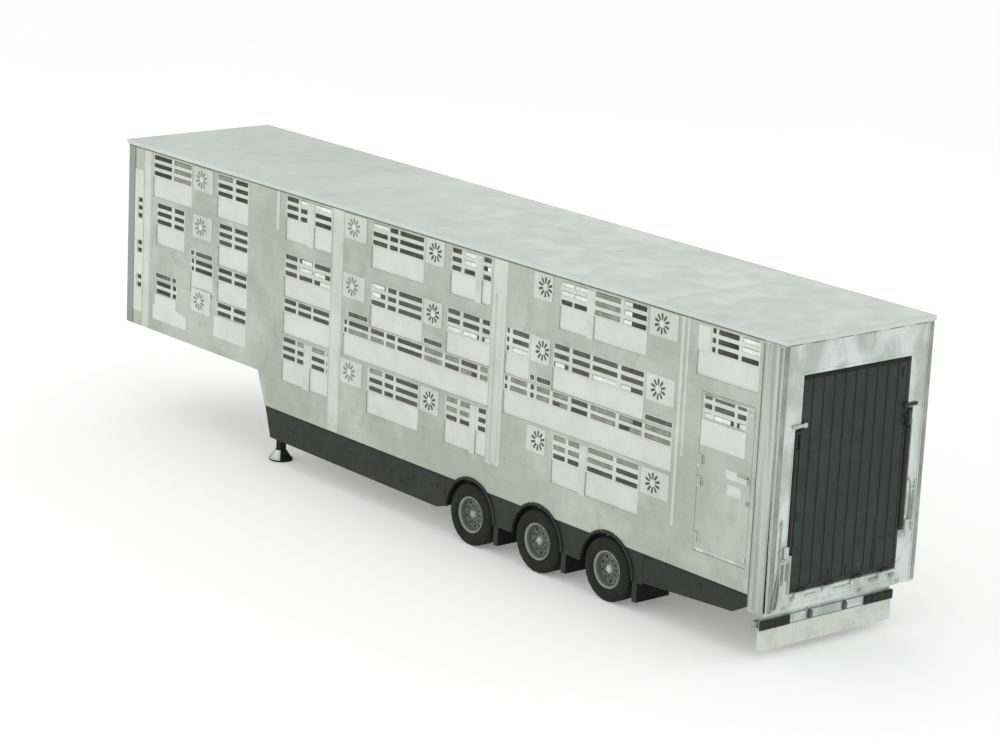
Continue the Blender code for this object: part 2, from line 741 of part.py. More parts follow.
def make_mudguards():
    """Three arches, the panels between them and the flap behind each wheel, as one moulding a side."""
    for side, sign in SIDES.items():
        panels = fascia_panels(sign * (SKIRT_OUTER - SKIRT_THICK), sign * SKIRT_OUTER)
        arches, flaps = [], []
        for axle_y in AXLES:
            band = arc((axle_y, AXLE_Z), ARCH_OUTER, 0, 180, 17)
            band += arc((axle_y, AXLE_Z), ARCH_INNER, 180, 0, 17)
            arches.append(plate("side", band, sign * ARCH_INNER_X, sign * WIDTH / 2))
            front = axle_y + ARCH_INNER + 0.003
            rear = front + FLAP_RETURN
            top = AXLE_Z + 0.03
            low, high = sorted((sign * FLAP_X[0], sign * FLAP_X[1]))
            flaps.append(box((low, rear - FLAP_THICK, FLAP_BOTTOM), (high, rear, top)))
            low, high = sorted((sign * (FLAP_X[1] - FLAP_THICK), sign * FLAP_X[1]))
            flaps.append(box((low, front, FLAP_BOTTOM), (high, rear, top)))
        base, *others = arches + panels + flaps
        finish(join(base, *others), f"{side}_mudguards", "black_plastic")


# ---- rear end ----


def make_portal():
    """The rear frame: a plate round the doorway, with a pocket for each strut and a cheek each side."""
    left = [
        (OPENING_X, OPENING_BOTTOM),
        (OPENING_X, POCKET_BOTTOM),
        (POCKET_X, POCKET_BOTTOM),
        (POCKET_X, POCKET_TOP),
        (OPENING_X, POCKET_TOP),
        (OPENING_X, OPENING_TOP),
    ]
    hole = left + [(-x, z) for x, z in reversed(left)]
    outline = rectangle(-PORTAL_SIDE, PORTAL_SIDE, PORTAL_BOTTOM, WALL_TOP)
    inner_face = PORTAL_FACE - PORTAL_THICK
    portal = plate("rear", outline, inner_face, PORTAL_FACE, [hole])
    shapes = []
    for sign in SIDES.values():
        low, high = sorted((sign * WALL_INNER, sign * (PORTAL_SIDE - 0.002)))
        cheek_low = (low, WALL_REAR + 0.001, PORTAL_BOTTOM - 0.03)
        shapes.append(box(cheek_low, (high, inner_face + 0.02, WALL_TOP - 0.002)))
        low, high = sorted((sign * (POCKET_X - 0.008), sign * (POCKET_X + 0.07)))
        bracket_low = (low, PORTAL_FACE - 0.02, STRUT_LOW - 0.075)
        shapes.append(box(bracket_low, (high, REAR - 0.003, STRUT_LOW + 0.06)))
    for x in RAMP_HINGES:
        near, far = x + HINGE_HALF + 0.002, x + 2 * HINGE_HALF
        shapes.append(cylinder((near, HINGE_Y, HINGE_Z), (far, HINGE_Y, HINGE_Z), HINGE_RADIUS, 12))
        leaf_low = (near + 0.002, PORTAL_FACE - 0.005, HINGE_Z - 0.05)
        shapes.append(box(leaf_low, (far - 0.002, HINGE_Y + 0.004, HINGE_Z - 0.008)))
    finish(join(portal, *shapes), "rear_frame", "portal_aluminium")


def make_ramp():
    """A ribbed leaf with a knuckle on each hinge, and a pin towards each strut."""
    inner = RAMP_OUTER - RAMP_THICK
    axis = pivot("rear_ramp_axis", (0.0, HINGE_Y, HINGE_Z))
    ramp = box((-RAMP_X, inner, RAMP_BOTTOM), (RAMP_X, RAMP_OUTER, RAMP_TOP))
    shapes = []
    half_rib = 0.016
    spacing = 2 * RAMP_X / (RAMP_RIBS + 1)
    for number in range(1, RAMP_RIBS + 1):
        x = -RAMP_X + number * spacing
        low = (x - half_rib, RAMP_OUTER - 0.005, RAMP_BOTTOM + 0.06)
        shapes.append(box(low, (x + half_rib, RAMP_OUTER + 0.010, RAMP_TOP - 0.04)))
    for x in RAMP_HINGES:
        near, far = x - HINGE_HALF, x + HINGE_HALF
        leaf_low = (near, RAMP_OUTER - 0.006, HINGE_Z + 0.008)
        shapes.append(box(leaf_low, (far, HINGE_Y + 0.004, HINGE_Z + 0.05)))
        shapes.append(cylinder((near, HINGE_Y, HINGE_Z), (far, HINGE_Y, HINGE_Z), HINGE_RADIUS, 12))
    pin_y, pin_radius = STRUT_Y - 0.01, 0.02
    for sign in SIDES.values():
        start = (sign * (RAMP_X - 0.02), pin_y, STRUT_HIGH)
        end = (sign * (RAMP_X + 0.009), pin_y, STRUT_HIGH)
        shapes.append(cylinder(start, end, pin_radius, 12))
    finish(join(ramp, *shapes), "rear_ramp", "ramp_black", (0.0, HINGE_Y, HINGE_Z), axis)
    make_latches(axis)


def make_latches(axis):
    """A turning bar at each side of the ramp, which lies across the rear frame when shut."""
    back = PORTAL_FACE + 0.003
    finishes = {"left": "bright_steel", "right": "black_steel"}
    for side, sign in SIDES.items():
        x = sign * LATCH_X
        boss = cylinder((x, back, LATCH_Z), (x, back + 0.026, LATCH_Z), 0.035, 12)
        low, high = sorted((x, sign * (LATCH_X + LATCH_REACH)))
        bar = box((low, back + 0.004, LATCH_Z - 0.02), (high, back + 0.022, LATCH_Z + 0.02))
        finish(join(boss, bar), f"ramp_latch_{side}", finishes[side], (x, back, LATCH_Z), axis)


def make_struts():
    """The telescopic strut beside each edge of the ramp: a tube on the frame, and its rod."""
    for side, sign in SIDES.items():
        x = sign * STRUT_X
        foot = (x, STRUT_Y, STRUT_LOW)
        axis = pivot(f"{side}_strut_axis", foot)
        low = STRUT_LOW - 0.03
        tube = strut_tube(x, low)
        finish(tube, f"{side}_strut_tube", "black_steel", foot, axis)
        rod = cylinder((x, STRUT_Y, low + 0.09), (x, STRUT_Y, STRUT_HIGH), STRUT_ROD, 12)
        eye = cylinder((x - 0.03, STRUT_Y, STRUT_HIGH), (x + 0.03, STRUT_Y, STRUT_HIGH), 0.028, 12)
        finish(join(rod, eye), f"{side}_strut_rod", "black_steel", foot, axis)


def strut_tube(x, low):
    """A round tube, open at the top and closed at the foot."""
    sides = 16
    outer, bore = (
        arc((x, STRUT_Y), radius, 0, 360 - 360 / sides, sides) for radius in (STRUT_OUTER, STRUT_BORE)
    )
    ring = plate("plan", outer, low, STRUT_TUBE_TOP, [bore])
    plug = cylinder((x, STRUT_Y, low), (x, STRUT_Y, low + 0.06), STRUT_BORE + 0.006, sides)
    return join(ring, plug)


def make_lamp_bar():
    """The bar under the tail with its two stays and lugs, a lamp at each end, and the flap it carries."""
    near, far = LAMP_BAR_Y
    low, high = LAMP_BAR_Z
    bar = box((-LAMP_BAR_X, near, low), (LAMP_BAR_X, far, high))
    stays = []
    for sign in SIDES.values():
        inner, outer = sign * BEAM_X - 0.04, sign * BEAM_X + 0.04
        stays.append(box((inner, near - 0.04, low + 0.02), (outer, near + 0.02, BEAM_BOTTOM - GAP)))
        inner, outer = sorted((sign * LUG_X[0], sign * LUG_X[1]))
        stays.append(box((inner, far - 0.02, low + 0.01), (outer, far + LAMP_DEPTH, high - 0.01)))
    finish(join(bar, *stays), "lamp_bar", "portal_aluminium")
    for side, sign in SIDES.items():
        inner, outer = sorted((sign * LAMP_INNER_X, sign * (LAMP_BAR_X - 0.004)))
        lamp = box((inner, far + GAP, low - 0.003), (outer, far + LAMP_DEPTH, high + 0.004))
        finish(bevel(lamp, 0.006, 1), f"{side}_tail_lamp", "black_plastic")
    flap = box((-LAMP_BAR_X, far - 0.016, FLAP_HANG), (LAMP_BAR_X, far - 0.006, low - GAP))
    finish(flap, "spray_flap", "pale_rubber")


def main():
    clear_scene()
    for name in ("parts", "tools"):
        make_collection(name)
    make_materials()
    make_roof()
    make_walls()
    make_front_wall()
    make_shutters()
    make_side_door()
    make_floors()
    make_decks()
    make_frames()
    make_wheels()
    make_axles()
    make_landing_legs()
    make_skirts()
    make_mudguards()
    make_portal()
    make_ramp()
    make_struts()
    make_lamp_bar()


main()
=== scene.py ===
"""The looks of a three-axle livestock semi-trailer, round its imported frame. Metres, +Z up, ramp at +Y."""

import math

import bmesh
import bpy
from mathutils import Matrix, Vector


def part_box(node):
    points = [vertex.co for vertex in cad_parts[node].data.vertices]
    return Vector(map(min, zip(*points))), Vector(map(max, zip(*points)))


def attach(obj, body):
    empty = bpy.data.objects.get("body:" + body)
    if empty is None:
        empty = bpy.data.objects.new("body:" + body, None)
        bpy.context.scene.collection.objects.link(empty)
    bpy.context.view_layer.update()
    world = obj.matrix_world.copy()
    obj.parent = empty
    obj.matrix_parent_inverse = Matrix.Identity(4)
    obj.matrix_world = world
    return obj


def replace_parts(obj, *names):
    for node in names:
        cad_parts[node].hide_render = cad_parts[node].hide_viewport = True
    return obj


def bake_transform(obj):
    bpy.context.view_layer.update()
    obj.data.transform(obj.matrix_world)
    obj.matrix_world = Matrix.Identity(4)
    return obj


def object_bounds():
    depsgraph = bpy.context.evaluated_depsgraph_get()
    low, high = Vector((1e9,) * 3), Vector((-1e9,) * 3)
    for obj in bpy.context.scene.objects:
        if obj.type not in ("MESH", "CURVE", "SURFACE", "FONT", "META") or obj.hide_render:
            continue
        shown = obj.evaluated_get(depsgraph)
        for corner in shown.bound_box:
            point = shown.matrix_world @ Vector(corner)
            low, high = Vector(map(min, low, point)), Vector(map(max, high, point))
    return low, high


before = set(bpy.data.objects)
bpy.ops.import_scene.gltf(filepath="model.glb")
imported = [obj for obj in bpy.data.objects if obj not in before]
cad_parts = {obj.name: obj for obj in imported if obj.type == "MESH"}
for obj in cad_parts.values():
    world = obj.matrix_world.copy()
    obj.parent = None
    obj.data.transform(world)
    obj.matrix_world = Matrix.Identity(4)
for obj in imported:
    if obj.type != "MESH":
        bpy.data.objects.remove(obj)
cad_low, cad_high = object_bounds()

SIDES = {"left": 1, "right": -1}
BODY = "trailer_body"
WHEELS = (1, 2, 3)

# Faces of the side wall: its outer skin, the louvre sheet set into it, and what stands on it
SKIN_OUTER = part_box("left_wall")[1].x
SKIN_INNER = SKIN_OUTER - 0.015
SHEET_INNER = SKIN_INNER + 0.0006
SHEET = (SHEET_INNER, SKIN_OUTER - 0.0010)
ON_SKIN = SKIN_OUTER + 0.0003
COVER = (ON_SKIN, ON_SKIN + 0.003)
SLAT = (SHEET_INNER + 0.0006, SHEET_INNER + 0.0030)
PORTAL_FACE = 6.765  # the rear frame's face round the ramp


# ---- materials ----

MATERIALS = {}
# how strongly the inside's surfaces glow, and where the walls' glow starts: painted light for the inside
INNER_GLOW = 0.060
WALL_INSIDE = SKIN_INNER + 0.0002
GUARD_FACE = 1.2335  # everything of a mudguard that is further in is painted black, the shade behind and between the wheels
RAMP_FOOT = 0.857  # the ramp's hinge knuckles, below its panel, are bare metal


class Nodes:
    """A material and short ways to add nodes to it."""

    def __init__(self, name):
        self.material = MATERIALS[name] = bpy.data.materials.new(name)
        self.material.use_nodes = True
        self.tree = self.material.node_tree
        self.shader = self.tree.nodes["Principled BSDF"]
        self.place = self.add("ShaderNodeTexCoord").outputs["Object"]

    def add(self, kind, links=None, **settings):
        node = self.tree.nodes.new(kind)
        for key, value in settings.items():
            setattr(node, key, value)
        for key, value in (links or {}).items():
            self.set(node.inputs[key], value)
        return node

    def set(self, socket, value):
        if isinstance(value, bpy.types.NodeSocket):
            self.tree.links.new(value, socket)
        elif isinstance(value, tuple) and len(value) == 3 and socket.type == "RGBA":
            socket.default_value = (*value, 1.0)
        else:
            socket.default_value = value

    def noise(self, scale, stretch=(1, 1, 1), detail=3.0, roughness=0.55, distortion=0.0, shift=0.0):
        placing = {"Vector": self.place, "Scale": stretch, "Location": (shift, shift, shift)}
        inputs = {"Vector": self.add("ShaderNodeMapping", placing).outputs[0], "Scale": scale}
        inputs.update({"Detail": detail, "Roughness": roughness, "Distortion": distortion})
        return self.add("ShaderNodeTexNoise", inputs).outputs["Fac"]

    def curve(self, value, low, high, to_low=0.0, to_high=1.0):
        inputs = {"Value": value, "From Min": low, "From Max": high, "To Min": to_low, "To Max": to_high}
        return self.add("ShaderNodeMapRange", inputs, interpolation_type="SMOOTHSTEP").outputs["Result"]

    def math(self, operation, first, second=0.0):
        return self.add("ShaderNodeMath", {0: first, 1: second}, operation=operation).outputs[0]

    def times(self, first, second):
        return self.math("MULTIPLY", first, second)

    def plus(self, first, second):
        return self.math("ADD", first, second)

    def facing(self, name):
        """1 where the surface faces along an axis, 0 elsewhere."""
        normal = self.add("ShaderNodeNewGeometry").outputs["Normal"]
        part = self.add("ShaderNodeSeparateXYZ", {0: normal}).outputs[name]
        return self.curve(self.math("ABSOLUTE", part), 0.55, 0.75)

    def axis(self, name):
        return self.add("ShaderNodeSeparateXYZ", {0: self.place}).outputs[name]

    def nearer(self, name, distance):
        """1 where a point lies nearer than distance to an axis' zero, 0 elsewhere."""
        return self.math("LESS_THAN", self.math("ABSOLUTE", self.axis(name)), distance)

    def mix(self, factor, first, second):
        node = self.add("ShaderNodeMix", data_type="RGBA", clamp_factor=True)
        self.set(node.inputs["Factor"], factor)
        colours = [socket for socket in node.inputs if socket.type == "RGBA"]
        self.set(colours[0], first)
        self.set(colours[1], second)
        return [socket for socket in node.outputs if socket.type == "RGBA"][0]

    def glow(self, colour, strength):
        """Painted light: the surface glows, standing in for the light that reaches the inside through the
        translucent roof, softer than lamps could bring it.
        """
        self.set(self.shader.inputs["Emission Color"], colour)
        self.set(self.shader.inputs["Emission Strength"], strength)

    def finish(self, colour, roughness, metallic, height, depth, strength, specular=0.5):
        bump = {"Height": height, "Distance": depth, "Strength": strength}
        values = {"Base Color": colour, "Roughness": roughness, "Metallic": metallic}
        values.update({"Specular IOR Level": specular, "Normal": self.add("ShaderNodeBump", bump).outputs[0]})
        for name, value in values.items():
            self.set(self.shader.inputs[name], value)


def linear(red, green, blue):
    """An 8-bit display colour as the linear colour that a shader takes."""
    return tuple(((c / 255 + 0.055) / 1.055) ** 2.4 for c in (red, green, blue))


def darker(colour, share):
    return tuple(share * c for c in colour)


def sheet_metal(name, light, dark, roughness, metallic, cloud=1.1, streak=(1, 1, 0.06), grime=0.35,
                inside=None, sides=None):
    """Metal sheet: broad clouds, fine brush marks along one direction, and a few duller patches.
    Further in than inside it glows a little, painted light for the inside, and sides is the colour of the
    faces that look sideways.
    """
    n = Nodes(name)
    if inside:
        n.glow(light, n.times(n.nearer("X", inside), INNER_GLOW))
    clouds = n.noise(cloud, detail=4.0, distortion=0.6)
    streaks = n.noise(46.0, streak, 4.0, 0.6)
    brush = n.noise(210.0, (1, 0.05, 1), 2.0)
    patches = n.curve(n.noise(2.6, detail=5.0, distortion=1.2, shift=3.0), 0.52, 0.70)
    colour = n.mix(n.curve(clouds, 0.30, 0.72), dark, light)
    colour = n.mix(n.curve(streaks, 0.35, 0.75, 0.0, 0.30), colour, dark)
    colour = n.mix(n.times(patches, grime), colour, darker(dark, 0.80))
    if sides:
        colour = n.mix(n.facing("X"), colour, n.mix(streaks, sides, darker(sides, 0.7)))
    rough = n.curve(n.noise(3.3, detail=5.0, shift=7.0), 0.3, 0.7, roughness - 0.10, roughness + 0.12)
    height = n.plus(n.times(brush, 0.25), n.noise(1.9, detail=3.0, shift=5.0))
    n.finish(colour, rough, metallic, height, 0.004, 0.35)


def polished_metal(name, light, dark, roughness, metallic, sides=None):
    """Bright profile: soft blotches where the finish is scuffed, small pits, and streaked side faces."""
    n = Nodes(name)
    blotches = n.curve(n.noise(2.1, (1, 1, 0.7), 3.0, 0.45, 0.8), 0.38, 0.62)
    smear = n.curve(n.noise(16.0, (1, 1, 0.12), 4.0, 0.6, 0.2, 2.0), 0.50, 0.78)
    colour = n.mix(blotches, dark, light)
    colour = n.mix(n.times(smear, 0.30), colour, darker(dark, 0.72))
    if sides:
        bands = n.curve(n.noise(19.0, (1, 1, 0.03), 3.0, 0.5, 0.2, 9.0), 0.38, 0.62)
        colour = n.mix(n.facing("X"), colour, n.mix(bands, *sides))
    rough = n.curve(n.noise(5.0, detail=5.0, shift=4.0), 0.3, 0.7, roughness - 0.12, roughness + 0.16)
    height = n.plus(n.noise(7.0, detail=4.0, shift=1.0), n.times(n.noise(160.0), 0.12))
    n.finish(colour, rough, metallic, height, 0.004, 0.45)


def painted(name, colour, worn, roughness, grain=420.0, metallic=0.0, specular=0.22, within=None):
    """Paint or moulded plastic: a fine grain, dust in broad patches, and small pale scuffs.
    within is (axis, distance, colour): the colour of what lies nearer than that to the axis' zero.
    """
    n = Nodes(name)
    dust = n.curve(n.noise(1.7, detail=5.0, distortion=0.7), 0.40, 0.70, 0.0, 0.55)
    scuffs = n.curve(n.noise(38.0, (0.25, 0.25, 1), 6.0, 0.7, 0.5, 6.0), 0.66, 0.74, 0.0, 0.5)
    base = n.mix(dust, colour, worn)
    base = n.mix(scuffs, base, tuple(min(1.0, 1.6 * c) for c in worn))
    if within:
        axis, distance, other = within
        base = n.mix(n.nearer(axis, distance), base, other)
    rough = n.curve(n.noise(6.0, detail=4.0, shift=2.0), 0.3, 0.7, roughness - 0.08, roughness + 0.10)
    height = n.plus(n.noise(grain, detail=2.0), n.times(n.noise(3.0, shift=8.0), 1.5))
    n.finish(base, rough, metallic, height, 0.0012, 0.5, specular)


def rubber(name, colour, dusty, roughness):
    """Matt rubber: a fine grain with dust lying in patches."""
    n = Nodes(name)
    dust = n.curve(n.noise(5.0, detail=6.0, distortion=0.8), 0.42, 0.72, 0.0, 0.7)
    base = n.mix(dust, colour, dusty)
    rough = n.curve(n.noise(24.0, detail=3.0), 0.3, 0.7, roughness - 0.06, roughness + 0.06)
    height = n.plus(n.noise(300.0, detail=2.0), n.times(n.noise(40.0), 0.6))
    n.finish(base, rough, 0.0, height, 0.0015, 0.4, 0.22)


def chequer_plate(name, light, dark):
    """Deck plate with a raised five-bar tread, glowing a little as painted light for the inside."""
    n = Nodes(name)
    along = n.math("SINE", n.times(n.plus(n.axis("X"), n.axis("Y")), 190.0))
    across = n.math("SINE", n.times(n.math("SUBTRACT", n.axis("X"), n.axis("Y")), 190.0))
    bars = n.curve(n.times(along, across), 0.15, 0.45)
    dirt = n.curve(n.noise(2.0, detail=6.0, distortion=1.0), 0.38, 0.70)
    colour = n.mix(dirt, light, dark)
    # painted light: the deck glows a little, as if lit inside
    n.glow(colour, INNER_GLOW)
    n.finish(colour, n.curve(dirt, 0.0, 1.0, 0.38, 0.62), 0.15, bars, 0.002, 0.6)


def glass(name, colour):
    """A smoked plastic lens with fine ribs behind its face."""
    n = Nodes(name)
    ribs = n.math("SINE", n.times(n.axis("X"), 900.0))
    shade = n.mix(n.curve(ribs, -1.0, 1.0, 0.0, 0.6), colour, darker(colour, 0.4))
    n.finish(shade, n.curve(n.noise(30.0), 0.3, 0.7, 0.22, 0.36), 0.0, ribs, 0.0004, 0.3, 0.3)


ALUMINIUM = (linear(192, 195, 184), linear(171, 174, 162), 0.50, 0.30)
DULL_BLACK = (linear(46, 48, 46), linear(58, 60, 57), 0.6)
PORTAL_SIDES = (linear(158, 165, 155), linear(186, 193, 184))


def make_materials():
    sheet_metal("wall_aluminium", *ALUMINIUM, inside=WALL_INSIDE)
    sheet_metal("front_aluminium", *ALUMINIUM, inside=WALL_INSIDE, sides=linear(158, 164, 156))
    sheet_metal("trim_aluminium", linear(212, 216, 206), linear(196, 200, 189), 0.42, 0.30)
    # a darker copy of the portal's aluminium: painted shade on the rounded corner posts
    sheet_metal("post_painted_shade_aluminium", linear(168, 174, 166), linear(134, 140, 132), 0.42, 0.35, 2.2)
    roof = (linear(207, 215, 210), linear(196, 204, 199))
    sheet_metal("roof_sheet", *roof, 0.48, 0.15, 0.5, (1, 0.06, 1), 0.12)
    panel = (linear(214, 219, 210), linear(204, 209, 198))
    sheet_metal("shutter_panel", *panel, 0.45, 0.05, 1.8, (1, 1, 0.1), 0.18)
    # painted light: a near-white that paints glints of light in slots, and a grey that paints the lit inside
    # seen through slots and the shade in the portal's hollows
    sheet_metal("painted_glint_white", (0.88, 0.90, 0.88), (0.66, 0.69, 0.64), 0.30, 0.1, 9.0)
    sheet_metal("painted_lit_and_shade_grey", linear(158, 160, 148), linear(124, 126, 112), 0.45, 0.2, 7.0)
    # a dark grey: painted shade behind the fans' grilles and the single rows of slots, and the lug covers'
    # own colour
    sheet_metal("painted_shade_and_dark_grey", linear(104, 108, 98), linear(74, 77, 68), 0.6, 0.2, 9.0)
    sheet_metal("floor", (0.93, 0.93, 0.93), (0.92, 0.92, 0.92), 0.9, 0.0, 0.2, (1, 1, 1), 0.0)
    polished_metal("portal_aluminium", linear(209, 217, 215), linear(174, 182, 177), 0.36, 0.25, PORTAL_SIDES)
    polished_metal("bright_steel", linear(205, 208, 202), linear(150, 154, 148), 0.30, 0.75)
    painted("fan_grey", linear(138, 143, 135), linear(112, 117, 110), 0.6)
    painted("black_plastic", *DULL_BLACK)
    # the mudguards, black further in: painted shade behind and between the wheels
    painted("guard_plastic", *DULL_BLACK, within=("X", GUARD_FACE, linear(18, 19, 19)))
    painted("leg_paint", linear(40, 41, 41), linear(52, 52, 50), 0.8, 260.0, specular=0.08)
    painted("chassis_black", linear(44, 45, 44), linear(60, 60, 57), 0.45, 260.0, 0.1)
    knuckles = ("Z", RAMP_FOOT, linear(186, 193, 188))
    painted("ramp_black", linear(51, 54, 53), linear(62, 65, 64), 0.66, 150.0, within=knuckles)
    painted("rim_steel", linear(140, 146, 140), linear(118, 123, 117), 0.42, 300.0, 0.1)
    painted("rim_dish", linear(106, 112, 105), linear(90, 95, 88), 0.5, 300.0)
    rubber("tyre", linear(33, 35, 33), linear(48, 49, 46), 0.85)
    rubber("pale_rubber", linear(213, 218, 210), linear(192, 197, 184), 0.60)
    rubber("seal_rubber", linear(26, 28, 27), linear(40, 41, 39), 0.75)
    # a grey that paints shade in the portal's grooves and the shadow under the roof's edge, and the corner
    # seam's dark joint
    rubber("groove", linear(112, 116, 108), linear(92, 95, 88), 0.6)
    chequer_plate("deck_aluminium", linear(214, 215, 207), linear(184, 184, 172))
    glass("lamp_lens", linear(23, 25, 23))
    glass("lamp_amber", linear(38, 31, 25))


SLOT_NODES = {
    # a material slot, and the first words of its CAD nodes' names without their sides
    "wall_aluminium": "wall side_door",
    "front_aluminium": "front_wall",
    "roof_sheet": "roof",
    "shutter_panel": "shutter",
    "portal_aluminium": "rear_frame lamp_bar",
    "ramp_black": "rear_ramp",
    "bright_steel": "side_door_handle ramp_latch",
    "chassis_black": "ramp_latch_right strut_tube strut_rod axle chassis_frame neck_frame",
    "black_plastic": "tail_lamp front_skirt rear_skirt",
    "guard_plastic": "mudguards",
    "pale_rubber": "spray_flap",
    "tyre": "tyre",
    "rim_steel": "rim",
    "leg_paint": "leg_tube leg_foot",
    "deck_aluminium": "lower_floor neck_floor deck neck_deck",
}
NODE_SLOTS = {kind: slot for slot, kinds in SLOT_NODES.items() for kind in kinds.split()}
SOFT_EDGES = {
    # a radius, and the CAD nodes whose sharp edges it rounds
    0.0015: "side_door",
    0.002: "shutter",
    0.003: "rear_ramp front_skirt rear_skirt mudguards ramp_latch side_door_handle chassis_frame "
           "neck_frame leg_foot strut_rod axle",
    0.004: "rear_frame lamp_bar leg_tube",
}
EDGE_RADII = {kind: radius for radius, kinds in SOFT_EDGES.items() for kind in kinds.split()}


def kind_of(node):
    """The longest key of NODE_SLOTS that a CAD node's name starts with, its side left out."""
    bare = node.removeprefix("left_").removeprefix("right_")
    return max((key for key in NODE_SLOTS if bare.startswith(key)), key=len)


def dress_cad():
    """Every CAD node gets its material, and small rounds where its edges would show as sharp."""
    for name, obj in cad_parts.items():
        kind = kind_of(name)
        material = MATERIALS[NODE_SLOTS[kind]]
        for index in range(len(obj.data.materials)):
            obj.data.materials[index] = material
        if not obj.data.materials:
            obj.data.materials.append(material)
        kind = kind.removesuffix("_right")
        if kind in EDGE_RADII:
            weld = obj.modifiers.new("weld", "WELD")
            weld.merge_threshold = 0.00002
            rounding = obj.modifiers.new("rounding", "BEVEL")
            rounding.width = EDGE_RADII[kind]
            rounding.segments = 2
            rounding.limit_method = "ANGLE"
            rounding.angle_limit = math.radians(40)


# ---- shapes ----


def arc(centre, radius, start, end, count):
    """Points on an arc between two angles in degrees."""
    angles = [math.radians(start + (end - start) * i / (count - 1)) for i in range(count)]
    return [(centre[0] + radius * math.cos(a), centre[1] + radius * math.sin(a)) for a in angles]


def circle(centre, radius, count):
    return arc(centre, radius, 0, 360 * (count - 1) / count, count)


def rounded(first, second, low, high, radius, count=4):
    """A rectangle's outline with round corners."""
    corners = (((second - radius, high - radius), 0), ((first + radius, high - radius), 90))
    corners += (((first + radius, low + radius), 180), ((second - radius, low + radius), 270))
    return [point for centre, angle in corners for point in arc(centre, radius, angle, angle + 90, count)]


